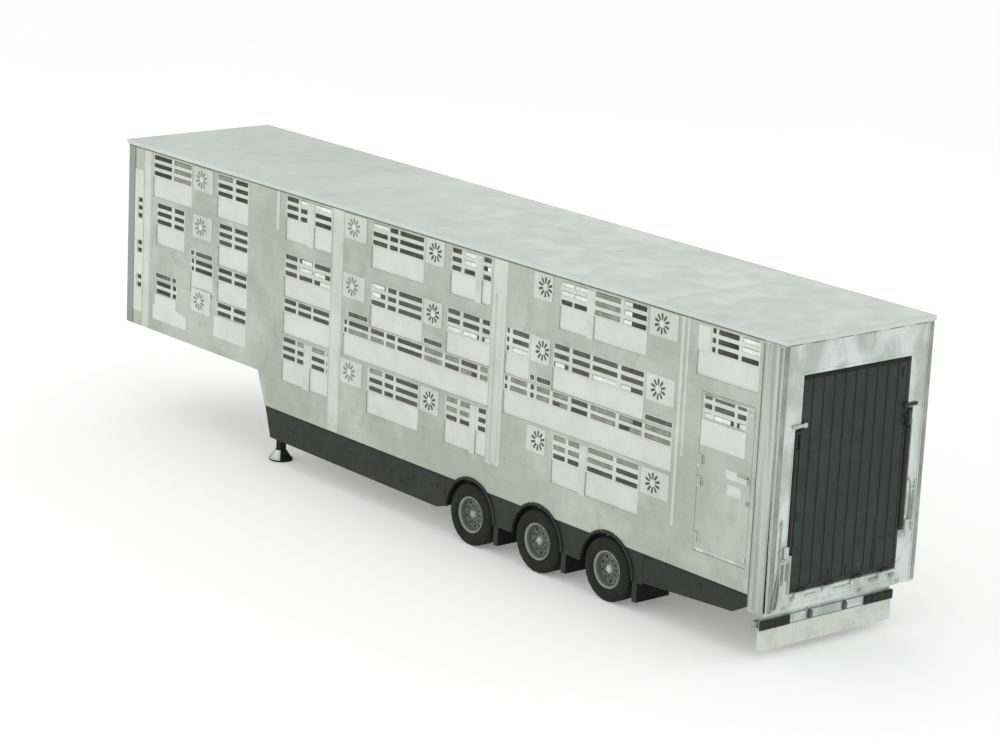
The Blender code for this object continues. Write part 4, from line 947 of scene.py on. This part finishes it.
def front_end():
    """Front wall: stiffeners, a coupling panel with its sockets, and marker lamps."""
    shape, dark, lens = Shape(), Shape(), Shape()
    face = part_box("front_wall")[0].y
    back = face + 0.002
    for x in (-1.0, -0.6, -0.2, 0.2, 0.6, 1.0):
        shape.block((x - 0.022, back, 1.34), (x + 0.022, face - 0.007, 3.88), 0.004)
    for z in (1.31, 2.05, 2.62, 3.22, 3.90):
        shape.block((-1.18, back, z - 0.018), (1.18, face - 0.005, z + 0.018), 0.003)
    shape.piece("front_stiffeners", "wall_aluminium")
    dark.block((-0.33, back, 1.46), (0.33, face - 0.006, 1.70), 0.003)
    socket = [(0, 0), (0.030, 0), (0.030, 0.006), (0.022, 0.0085)]
    socket += [(0.014, 0.0085), (0.014, 0.004), (0, 0.004)]
    for x in (-0.24, -0.12, 0.0, 0.12, 0.24):
        dark.lathe(socket, (x, face - 0.0005, 1.58), (0, -1, 0), 20)
    dark.piece("coupling_panel", "black_plastic")
    for x in (-1.02, 1.02):
        lens.block((x - 0.05, back, 3.78), (x + 0.05, face - 0.0085, 3.82), 0.004)
    lens.piece("front_markers", "black_plastic", "lamp_amber")


def portal():
    """Jamb plates, corner posts darkened with painted shade for their rounded corners, dark seams of painted
    shade beside them, and rails over and under the ramp.
    """
    plates, posts, dark = Shape(), Shape(), Shape()
    for sign in SIDES.values():
        plates.rear_block((sign * 1.17, sign * 1.194), (0.66, 3.915), 0.006, 0.003)
        plates.rear_block((sign * 1.012, sign * 1.026), (1.52, 2.74), 0.005, 0.002)
        posts.rear_block((sign * 1.199, sign * 1.262), (0.66, 3.915), 0.006, 0.003)
        dark.rear_block((sign * 1.192, sign * 1.201), (0.66, 3.91), 0.003, 0.0005, 1)
        plates.side_block(sign, (6.50, 6.70), (0.66, 3.90), (1.255, 1.2735), 0.003)
        for y, radius in ((6.752, 0.007), (6.452, 0.005)):
            plates.rod((sign * 1.2675, y, 0.65), (sign * 1.2675, y, 3.92), radius, 10)
        for y, wide in ((6.4280, 0.018), (6.7040, 0.030)):
            dark.side_block(sign, (y, y + wide), (0.66, 3.90), (1.2660, 1.2700), 0.0005, 1)
    for half, heights in ((0.93, (3.545, 3.575)), (1.155, (3.885, 3.915)), (1.155, (0.655, 0.705))):
        plates.rear_block((-half, half), heights, 0.004, 0.002)
    plates.piece("portal_plates", "portal_aluminium")
    posts.piece("portal_posts", "portal_aluminium", "post_painted_shade_aluminium")
    dark.piece("portal_grooves", "black_plastic", "groove")


def sill_hinges():
    """Hinge knuckles and lugs along the sill under the ramp."""
    bright = Shape()
    middle = PORTAL_FACE + 0.011
    knuckles = ((-0.90, -0.80), (-0.64, -0.46), (-0.16, 0.0), (0.02, 0.16), (0.46, 0.64), (0.82, 0.90))
    for start, end in knuckles:
        bright.rod((start, middle, 0.79), (end, middle, 0.79), 0.011, 12)
        bright.rear_block((start + 0.01, end - 0.01), (0.745, 0.782), 0.004, 0.002)
    for x in (-0.98, -0.30, 0.31, 1.0):
        bright.rear_block((x - 0.035, x + 0.035), (0.665, 0.70), 0.010, 0.003)
        bright.dome((x, PORTAL_FACE + 0.010, 0.683), (0, 1, 0), 0.010, 0.006, 6, 2)
    bright.piece("sill_hinges", "bright_steel")


def tail_apron():
    """The folded sheet between the rear frame's sill and the lamp bar."""
    shape = Shape()
    section = [(6.505, 0.484), (6.517, 0.484), (6.517, 0.640), (6.700, 0.648), (6.758, 0.648), (6.758, 0.662)]
    shape.sheet("side", [[*section, (6.700, 0.662), (6.505, 0.652)]], -1.12, 1.12, (), 0.002)
    for x in (-0.90, -0.30, 0.30, 0.90):
        shape.block((x - 0.018, 6.515, 0.50), (x + 0.018, 6.523, 0.636), 0.003)
    shape.piece("tail_apron", "portal_aluminium")


def portal_handles():
    """The left bracket with its hanging handle, and the rods beside the ramp with their clips."""
    shape = Shape()
    out = PORTAL_FACE + 0.006
    for across, heights, stand in (
        ((0.925, 0.955), (0.86, 1.31), 0.014),
        ((0.945, 1.10), (1.275, 1.318), 0.016),
        ((1.098, 1.142), (1.380, 1.420), 0.022),
        ((1.098, 1.142), (1.720, 1.760), 0.022),
        ((-1.135, -1.055), (1.422, 1.458), 0.018),
        ((-1.135, -1.055), (1.822, 1.858), 0.018),
        ((-1.04, -0.935), (1.245, 1.31), 0.014),
    ):
        shape.rear_block(across, heights, stand, 0.003)
    shape.dome((1.06, PORTAL_FACE + 0.014, 1.297), (0, 1, 0), 0.022, 0.012, 16, 3)
    right_rod = [(-1.06, 1.40), (-1.075, 1.55), (-1.085, 1.75), (-1.07, 1.92), (-1.03, 2.00), (-1.005, 1.96)]
    for points, y, radius, sides in (
        ([*HANDLE, HANDLE[0]], out + 0.008, 0.0085, 10),
        ([(1.12, z) for z in (1.22, 1.45, 1.62, 1.80)], out + 0.006, 0.009, 10),
        (right_rod, out + 0.006, 0.009, 10),
        ([(-1.12, z) for z in (1.36, 1.6, 1.86)], out + 0.004, 0.006, 8),
    ):
        shape.tube([(x, y, z) for x, z in points], radius, sides)
    shape.piece("portal_handles", "bright_steel")


def portal_recesses():
    """Grey patches of painted shade that stand for the hollow inside the handle and slots in the jambs."""
    recess = Shape()
    recess.sheet("rear", [HANDLE[::-1]], PORTAL_FACE + 0.005, PORTAL_FACE + 0.0075)
    for outline, out in (
        (rounded(1.035, 1.075, 0.98, 1.24, 0.012), 0.0055),
        (rounded(0.965, 1.005, 1.02, 1.25, 0.012), 0.0018),
        (rounded(-1.150, -1.128, 1.30, 1.95, 0.008), 0.0022),
    ):
        recess.sheet("rear", [outline], PORTAL_FACE - 0.001, PORTAL_FACE + out)
    recess.piece("portal_recesses", "portal_aluminium", "painted_lit_and_shade_grey")


def ramp_catch():
    """A dark catch on the ramp's right edge."""
    catch = Shape()
    catch.block((-0.872, 6.748, 2.66), (-0.905, 6.775, 2.80), 0.006)
    catch.block((-0.850, 6.748, 2.775), (-0.905, 6.786, 2.815), 0.006)
    catch.rod((-0.880, 6.770, 2.70), (-0.880, 6.790, 2.70), 0.018, 12)
    catch.piece("ramp_catch", "ramp_black", "seal_rubber", "ramp")


def ramp_details():
    """Outside: edge strips, hatch outline, stops and the top seal. Inside: the treads that animals climb."""
    skin, gasket, treads = Shape(), Shape(), Shape()
    inner, outer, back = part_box("rear_ramp")[0].y, 6.752, 6.750
    low, high = 0.862, 3.520
    for sign in SIDES.values():
        skin.block((sign * 0.873, back, low + 0.05), (sign * 0.9015, outer + 0.007, high), 0.002)
    skin.block((-0.90, back, low + 0.030), (0.90, outer + 0.008, low + 0.056), 0.002)
    for x, z in ((0.243, 0.99), (-0.051, 0.99), (0.85, 1.80), (0.87, 1.50), (-0.85, 2.76), (-0.80, 3.34)):
        skin.block((x - 0.016, back, z - 0.055), (x + 0.016, outer + 0.014, z + 0.055), 0.003)
    skin.block((-0.50, back, 0.93), (-0.487, outer + 0.009, 1.55), 0.002)
    skin.block((-0.87, back, 1.28), (-0.49, outer + 0.009, 1.293), 0.002)
    skin.piece("ramp_skin", "ramp_black", body="ramp")
    gasket.block((-0.902, back, high - 0.046), (0.902, outer + 0.012, high + 0.002), 0.004)
    gasket.piece("ramp_gasket", "ramp_black", "seal_rubber", "ramp")
    for i in range(13):
        z = 1.00 + i * 0.20
        treads.block((-0.86, inner - 0.014, z - 0.016), (0.86, inner + 0.001, z + 0.016), 0.004)
    treads.piece("ramp_treads", "deck_aluminium", body="ramp")


def strut_details():
    """A collar round the top of each strut's tube, and a band lower down."""
    collar = [(0.0225, 0), (0.0390, 0), (0.0410, 0.004), (0.0410, 0.026), (0.0390, 0.030), (0.0225, 0.030)]
    band = [(0.036, 0), (0.0385, 0.002), (0.0385, 0.016), (0.036, 0.018)]
    for side, sign in SIDES.items():
        shape = Shape()
        for profile, z in ((collar, 2.6105), (band, 1.50)):
            shape.lathe(profile, (sign * 0.958, 6.745, z), (0, 0, 1), 24, True)
        shape.piece(f"{side}_strut_collar", "chassis_black", body=f"{side}_strut_tube")


def tail_lamps():
    """A rim and a lens for each lamp chamber. The third from the middle is an indicator."""
    rims, lenses, amber = Shape(), Shape(), Shape()
    low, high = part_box("left_tail_lamp")
    for sign in SIDES.values():
        for number, (start, end) in enumerate(zip(LAMP_EDGES, LAMP_EDGES[1:])):
            outline, inside = (
                rounded(*sorted((sign * (start + gap), sign * (end - gap))), low.z + 0.011 + gap,
                        high.z - 0.011 - gap, radius)
                for gap, radius in ((0.005, 0.012), (0.013, 0.008))
            )
            rims.sheet("rear", [outline], high.y - 0.001, high.y + 0.004, [inside], 0.0008)
            target = amber if number == 2 else lenses
            target.sheet("rear", [inside], high.y - 0.001, high.y + 0.0022, (), 0.0008)
    rims.piece("lamp_rims", "black_plastic")
    lenses.piece("lamp_lenses", "black_plastic", "lamp_lens")
    amber.piece("lamp_indicators", "black_plastic", "lamp_amber")


def bar_fittings():
    """The flap's clamp strip and screws, covers on the lamp bar's lugs, and a clamp at its left end."""
    bright, dark = Shape(), Shape()
    for i in range(12):
        bright.dome((-1.05 + i * 2.10 / 11, 6.5290, 0.345), (0, 1, 0), 0.007, 0.004, 6, 2)
    dark.block((-1.135, 6.5210, 0.3585), (1.135, 6.5300, 0.3695), 0.001, 1)
    for sign in SIDES.values():
        dark.block((sign * 0.268, 6.534, 0.378), (sign * 0.332, 6.567, 0.472), 0.004)
        dark.rod((sign * 0.300, 6.550, 0.470), (sign * 0.300, 6.550, 0.486), 0.016, 12)
    dark.piece("lug_covers", "chassis_black", "painted_shade_and_dark_grey")
    clamp = [(0, 0), (0.034, 0), (0.040, 0.006), (0.040, 0.050), (0.034, 0.056), (0, 0.056)]
    bright.lathe(clamp, (1.150, 6.49, 0.452), (1, 0, 0), 24)
    bright.block((1.140, 6.455, 0.395), (1.185, 6.528, 0.425), 0.004)
    bright.piece("bar_fittings", "bright_steel")


# ---- running gear ----

AXLE_Y = {n: (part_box(f"left_tyre_{n}")[0].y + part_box(f"left_tyre_{n}")[1].y) / 2 for n in WHEELS}
TYRE_LOW, TYRE_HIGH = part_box("left_tyre_1")
WHEEL_Z = (TYRE_LOW.z + TYRE_HIGH.z) / 2
WHEEL_X = (TYRE_LOW.x + TYRE_HIGH.x) / 2
TREAD = (TYRE_HIGH.z - TYRE_LOW.z) / 2 - 0.0005
GROOVE = 0.012  # depth of a tread groove, and half its width at the top
NOTCH = 0.005
TYRE_STEPS = 96
SHOULDER = (12, 13, 14, 15)  # the tyre profile's points on the outer shoulder rib
LAST_POINT = 45  # of the tyre profile
HAND_HOLES = 10
NUT = (
    # length, radius, sides and edge of the washer, the nut and the stud's end
    (0.005, 0.018, 16, 0.001), (0.022, 0.0145, 6, 0.002), (0.032, 0.0085, 10, 0.001),
)


def tyre_profile():
    """A closed loop from the outer bead over the tread to the inner bead, as (radius, distance out)."""
    half = [(0.229, 0.100), (0.240, 0.118), (0.258, 0.131), (0.262, 0.1335), (0.266, 0.1325), (0.290, 0.1455)]
    half += [(0.306, 0.1485), (0.310, 0.1495), (0.314, 0.1485), (0.340, 0.1470), (0.362, 0.1420)]
    half += [(0.380, 0.1360), (0.396, 0.1320), (0.408, 0.1240), (TREAD - 0.001, 0.1130)]
    for centre in (0.080, 0.028):
        half += [(TREAD, centre + GROOVE), (TREAD - GROOVE, centre + GROOVE * 0.5)]
        half += [(TREAD - GROOVE, centre - GROOVE * 0.5), (TREAD, centre - GROOVE)]
    return half + [(radius, -along) for radius, along in reversed(half)]


def tread_cut(step, index, radius):
    """Notches across the shoulder rib, every fourth step round the tyre."""
    notched = step % 4 == 0 and (index in SHOULDER or LAST_POINT - index in SHOULDER)
    return radius - NOTCH if notched else radius


def around(centre, radius, count, shift=0.0):
    """Evenly spaced points (y, z) round a wheel's centre."""
    angles = [2 * math.pi * (i + shift) / count for i in range(count)]
    return [(centre[1] + radius * math.cos(a), centre[2] + radius * math.sin(a)) for a in angles]


def wheels():
    for number in WHEELS:
        for side, sign in SIDES.items():
            centre = (sign * WHEEL_X, AXLE_Y[number], WHEEL_Z)
            body = f"{side}_wheel_{number}"
            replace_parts(tyre(side, number, centre, sign, body), f"{side}_tyre_{number}")
            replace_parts(rim(side, number, centre, sign, body), f"{side}_rim_{number}")
            hub(side, number, centre, sign, body)


def tyre(side, number, centre, sign, body):
    shape = Shape()
    shape.lathe(tyre_profile(), centre, (sign, 0, 0), TYRE_STEPS, True, tread_cut)
    return shape.piece(f"{side}_tread_{number}", "tyre", None, body, 30)


def rim(side, number, centre, sign, body):
    """Flange, barrel and the dished disc with its hand holes."""
    shape, flange = Shape(), Shape()
    out = (sign, 0, 0)
    barrel = [(0.2275, 0.100), (0.236, 0.112), (0.240, 0.116), (0.2435, 0.122), (0.242, 0.127)]
    barrel += [(0.237, 0.1265), (0.222, 0.117), (0.214, 0.108), (0.208, 0.090), (0.206, 0.040)]
    barrel += [(0.203, -0.020), (0.208, -0.095), (0.2275, -0.098)]
    shape.lathe(barrel, centre, out, 64, True)
    x, y, z = centre
    holes = [circle(place, 0.021, 14) for place in around(centre, 0.160, HAND_HOLES, 0.5)]
    holes.append(circle((y, z), 0.060, 40))
    shape.sheet("side", [circle((y, z), 0.2065, 64)], x + sign * 0.038, x + sign * 0.050, holes, 0.0015)
    boss = [(0.062, 0.048), (0.068, 0.060), (0.134, 0.060), (0.142, 0.056), (0.150, 0.049)]
    shape.lathe(boss, centre, out, 64, True)
    disc = shape.piece(f"{side}_wheel_disc_{number}", "rim_steel", "rim_dish", body, 30)
    lip = [(0.2285, 0.1005), (0.2365, 0.1125), (0.2405, 0.1165), (0.2440, 0.1225), (0.2425, 0.1280)]
    lip += [(0.2365, 0.1275), (0.2215, 0.1180), (0.2180, 0.1130)]
    flange.lathe(lip, centre, out, 64, True)
    flange.piece(f"{side}_rim_flange_{number}", "rim_steel", None, body, 30)
    return disc


def hub(side, number, centre, sign, body):
    """The hub cap, its bolts, and the wheel nuts."""
    middle, shape = Shape(), Shape()
    x = centre[0]
    cap = [(0.0, 0.040), (0.061, 0.040), (0.061, 0.072), (0.058, 0.075), (0.050, 0.076), (0.048, 0.090)]
    cap += [(0.044, 0.095), (0.024, 0.0975), (0.022, 0.1000), (0.0, 0.1005)]
    middle.lathe(cap, centre, (sign, 0, 0), 32)
    middle.piece(f"{side}_hub_cap_{number}", "bright_steel", None, body, 30)
    for y, z in around(centre, 0.054, 6):
        shape.rod((x + sign * 0.075, y, z), (x + sign * 0.081, y, z), 0.0055, 6, 0.001)
    for y, z in around(centre, 0.108, 10):
        foot = Vector((x + sign * 0.059, y, z))
        for length, radius, steps, edge in NUT:
            shape.rod(foot, foot + Vector((sign * length, 0, 0)), radius, steps, edge)
    shape.piece(f"{side}_wheel_nuts_{number}", "rim_steel", "rim_dish", body, 30)


def air_spring(side, number, sign):
    """Two soft folds between the axle's arm and the frame above it."""
    beam_bottom, arm_top = 0.70, WHEEL_Z + 0.07
    y, height, steps = AXLE_Y[number] + 0.24, beam_bottom - arm_top, 28
    profile = [(0.0, 0.0), (0.075, 0.0), (0.080, 0.010)]
    for i in range(steps + 1):
        t = i / steps
        fold = abs(math.sin(math.pi * 2 * t)) ** 0.7
        profile.append((0.098 + 0.026 * fold, 0.012 + (height - 0.024) * t))
    profile += [(0.085, height - 0.006), (0.0, height - 0.001)]
    spring = Shape()
    spring.lathe(profile, (sign * 0.448, y, arm_top), (0, 0, 1), 32)
    obj = spring.piece(f"{side}_air_spring_{number}", "black_plastic", "seal_rubber", None, 60)
    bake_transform(obj)


def damper(side, number, sign):
    """A damper's two tubes, from the axle to the frame ahead of it."""
    shape = Shape()
    top = Vector((sign * 0.37, AXLE_Y[number] - 0.22, 0.735))
    foot = Vector((sign * 0.37, AXLE_Y[number] - 0.02, WHEEL_Z + 0.065))
    shape.rod(foot, foot.lerp(top, 0.62), 0.028, 20)
    shape.rod(foot.lerp(top, 0.55), top, 0.034, 20)
    obj = shape.piece(f"{side}_damper_{number}", "chassis_black", None, None, 40)
    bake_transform(obj)


def suspension():
    for number in WHEELS:
        for side, sign in SIDES.items():
            air_spring(side, number, sign)
            damper(side, number, sign)


def air_tanks():
    """Two air tanks between the beams, with their straps."""
    tank, strap = Shape(), Shape()
    half = [(0.0, 0.0), (0.07, 0.004), (0.115, 0.022), (0.132, 0.055)]
    profile = [*half, *((radius, 0.900 - along) for radius, along in half[::-1])]
    for x in (-0.16, 0.16):
        tank.lathe(profile, (x, -1.30, 0.56), (0, 1, 0), 32)
        for y in (-1.10, -0.62):
            band = [(0.1325, 0), (0.1365, 0), (0.1365, 0.04), (0.1325, 0.04)]
            strap.lathe(band, (x, y, 0.56), (0, 1, 0), 32, True)
            strap.block((x - 0.015, y, 0.69), (x + 0.015, y + 0.04, 0.765), 0.002)
    tank.piece("air_tanks", "chassis_black")
    strap.piece("tank_straps", "bright_steel")


# ---- landing legs, skirts and inside ----

FOOT_CONE = ((0.1695, 0.0265), (0.1690, 0.034), (0.080, 0.1425), (0.078, 0.150))  # (radius, height)
FOOT_STEPS = 20


def foot_lit_half(side, sign, x, y):
    """A pale half over the black cone of a landing foot, turned outwards and forwards: painted light, on the
    left foot the side towards the key lamp.
    """
    # centred outwards and forwards; on the left foot that is the camera's left, where the key lamp stands
    start = math.degrees(math.atan2(-0.63, 0.73)) - 90
    outside = [(min(radius + 0.0045, 0.1735), z) for radius, z in FOOT_CONE]
    section = [*outside, *((radius + 0.0008, z) for radius, z in FOOT_CONE[::-1])]
    part = bmesh.new()
    rows = []
    for i in range(FOOT_STEPS + 1):
        angle = math.radians(start + 180 * i / FOOT_STEPS)
        across, along = sign * math.cos(angle), math.sin(angle)
        rows.append([part.verts.new((x + radius * across, y + radius * along, z)) for radius, z in section])
    for here, after in zip(rows, rows[1:]):
        for k in range(len(section)):
            part.faces.new((here[k - 1], after[k - 1], after[k], here[k]))
    for row in (rows[0], rows[-1]):
        for k in range(len(FOOT_CONE) - 1):
            part.faces.new((row[k], row[k + 1], row[-2 - k], row[-1 - k]))
    bmesh.ops.recalc_face_normals(part, faces=part.faces)
    shell = Shape()
    shell.take(part)
    shell.piece(f"{side}_foot_lit_half", "bright_steel", body=f"{side}_leg")


def landing_legs():
    """The pale half shell of painted light on each foot, and two collars on each tube."""
    for side, sign in SIDES.items():
        low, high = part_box(f"{side}_leg_foot")
        x, y = (low.x + high.x) / 2, (low.y + high.y) / 2
        foot_lit_half(side, sign, x, y)
        collar = Shape()
        ring = rounded(x - 0.068, x + 0.068, y - 0.068, y + 0.068, 0.006)
        hole = rounded(x - 0.0602, x + 0.0602, y - 0.0602, y + 0.0602, 0.002, 2)
        for z in (0.522, 0.80):
            collar.sheet("plan", [ring], z, z + 0.03, [hole], 0.002)
        collar.piece(f"{side}_leg_collars", "chassis_black")


def outer_face(side, node):
    """How far out from the middle a side's node reaches."""
    low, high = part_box(f"{side}_{node}")
    return max(abs(low.x), abs(high.x))


def skirt_details(side, sign):
    """Latches, small fittings and the folded lower rim of the skirts."""
    shape = Shape()
    face = outer_face(side, "front_skirt")
    latches = ((-2.62, 0.58), (-1.32, 0.60), (-0.42, 0.59), (-0.18, 0.50), (0.06, 0.62), (0.22, 0.53))
    for y, z in (*latches, (0.56, 0.64), (5.6, 0.70)):
        faces = (face - 0.001, face + 0.007)
        shape.side_block(sign, (y - 0.035, y + 0.035), (z - 0.022, z + 0.022), faces, 0.004)
        shape.rod((sign * face, y, z), (sign * (face + 0.012), y, z), 0.012, 12)
    shape.side_block(sign, (-0.22, 0.12), (0.770, 0.800), (face - 0.001, face + 0.012), 0.003)
    for along in ((-3.02, 0.74), (4.60, 6.41)):
        shape.side_block(sign, along, (0.774, 0.784), (face - 0.001, face + 0.005), 0.002)
    shape.piece(f"{side}_skirt_fittings", "black_plastic")


def arch_lips(side, sign):
    """A rolled rim on the outer edge of each wheel arch."""
    shape = Shape()
    edge = outer_face(side, "mudguards")
    for y in AXLE_Y.values():
        path = arc((y, WHEEL_Z), 0.497, 4, 176, 33)
        shape.tube([(sign * (edge - 0.0078), a, b) for a, b in path], 0.0075, 8)
    shape.piece(f"{side}_arch_lips", "black_plastic")


def deck_guides():
    """Posts up the inside of the walls, which the lifting decks slide on."""
    posts = Shape()
    for sign in SIDES.values():
        for y, foot in ((-1.72, 1.0), (1.66, 1.0), (5.10, 1.0), (-6.28, 1.445), (-3.40, 1.445)):
            posts.side_block(sign, (y - 0.02, y + 0.02), (foot, 3.92), (1.196, 1.222), 0.003)
    posts.piece("deck_guides", "deck_aluminium")


# ---- stage ----

WHITE = (1.0, 1.0, 1.0, 1.0)
FLOOR_SIZE = 260.0
FLOOR_GLOW = 0.20
SKY_LIGHT = 0.84
LAMPS = (
    # name, place, aim, size, watts
    ("key", (38.0, -9.0, 17.0), (0.0, -1.0, 1.5), 21.0, 2300.0),
    ("rear", (1.0, 28.0, 9.0), (0.0, 5.0, 2.0), 10.0, 350.0),
    ("far", (-18.0, -14.0, 14.0), (0.0, -2.0, 2.0), 12.0, 260.0),
)


def make_floor():
    shape = Shape()
    part = bmesh.new()
    bmesh.ops.create_grid(part, x_segments=8, y_segments=8, size=FLOOR_SIZE)
    shape.take(part, Matrix.Translation((0, 0, cad_low.z - 0.001)))
    shader = MATERIALS["floor"].node_tree.nodes["Principled BSDF"]
    shader.inputs["Emission Color"].default_value = WHITE
    shader.inputs["Emission Strength"].default_value = FLOOR_GLOW
    shape.piece("floor", "floor", body=None)


def make_sky():
    """White all round: full strength where the camera sees it, softer as light."""
    world = bpy.data.worlds.new("studio")
    bpy.context.scene.world = world
    world.use_nodes = True
    nodes, links = world.node_tree.nodes, world.node_tree.links
    nodes["Background"].inputs["Color"].default_value = WHITE
    strength = nodes.new("ShaderNodeMapRange")
    strength.inputs["To Min"].default_value = SKY_LIGHT
    strength.inputs["To Max"].default_value = 1.0
    links.new(nodes.new("ShaderNodeLightPath").outputs["Is Camera Ray"], strength.inputs["Value"])
    links.new(strength.outputs["Result"], nodes["Background"].inputs["Strength"])


def make_lamps():
    for name, place, aim, span, watts in LAMPS:
        data = bpy.data.lights.new(name, "AREA")
        data.energy = watts
        data.size = span
        lamp = bpy.data.objects.new(name, data)
        bpy.context.scene.collection.objects.link(lamp)
        lamp.location = place
        lamp.rotation_mode = "QUATERNION"
        lamp.rotation_quaternion = (Vector(aim) - Vector(place)).to_track_quat("-Z", "Y")


def make_camera():
    """A long lens from behind and to the left, a little above, and very slightly rolled."""
    azimuth, elevation, roll = (math.radians(a) for a in (139.173, 14.835, 2.755))
    level = math.cos(elevation)
    back = Vector((math.sin(azimuth) * level, -math.cos(azimuth) * level, math.sin(elevation)))
    right = (-back).cross(Vector((0, 0, 1))).normalized()
    up = right.cross(-back)
    across = right * math.cos(roll) + up * math.sin(roll)
    upward = up * math.cos(roll) - right * math.sin(roll)
    data = bpy.data.cameras.new("camera")
    data.lens = 116.83
    data.sensor_width = 36.0
    data.clip_end = 400.0
    camera = bpy.data.objects.new("camera", data)
    bpy.context.scene.collection.objects.link(camera)
    matrix = Matrix((across, upward, back)).transposed().to_4x4()
    matrix.translation = Vector((27.4796, 32.0956, 13.0414))
    camera.matrix_world = matrix
    bpy.context.scene.camera = camera
    bpy.context.scene.view_settings.view_transform = "Standard"


EACH_SIDE = (
    louvre_sheets, painted_slot_light, corner_vents, rear_vents, blind_rows, fans, wall_strips, wall_beads,
    fixed_covers, plank_lines, rivets, skirt_details, arch_lips,
)
ONCE = (
    door_pads, door_fittings, door_seals, roof_trim, front_end, portal, sill_hinges, tail_apron,
    portal_handles, portal_recesses, ramp_catch, ramp_details, strut_details, tail_lamps, bar_fittings,
    wheels, suspension, air_tanks, landing_legs, deck_guides, make_floor, make_sky, make_lamps, make_camera,
)


def main():
    make_materials()
    dress_cad()
    for part in EACH_SIDE:
        for side, sign in SIDES.items():
            part(side, sign)
    for part in ONCE:
        part()


main()
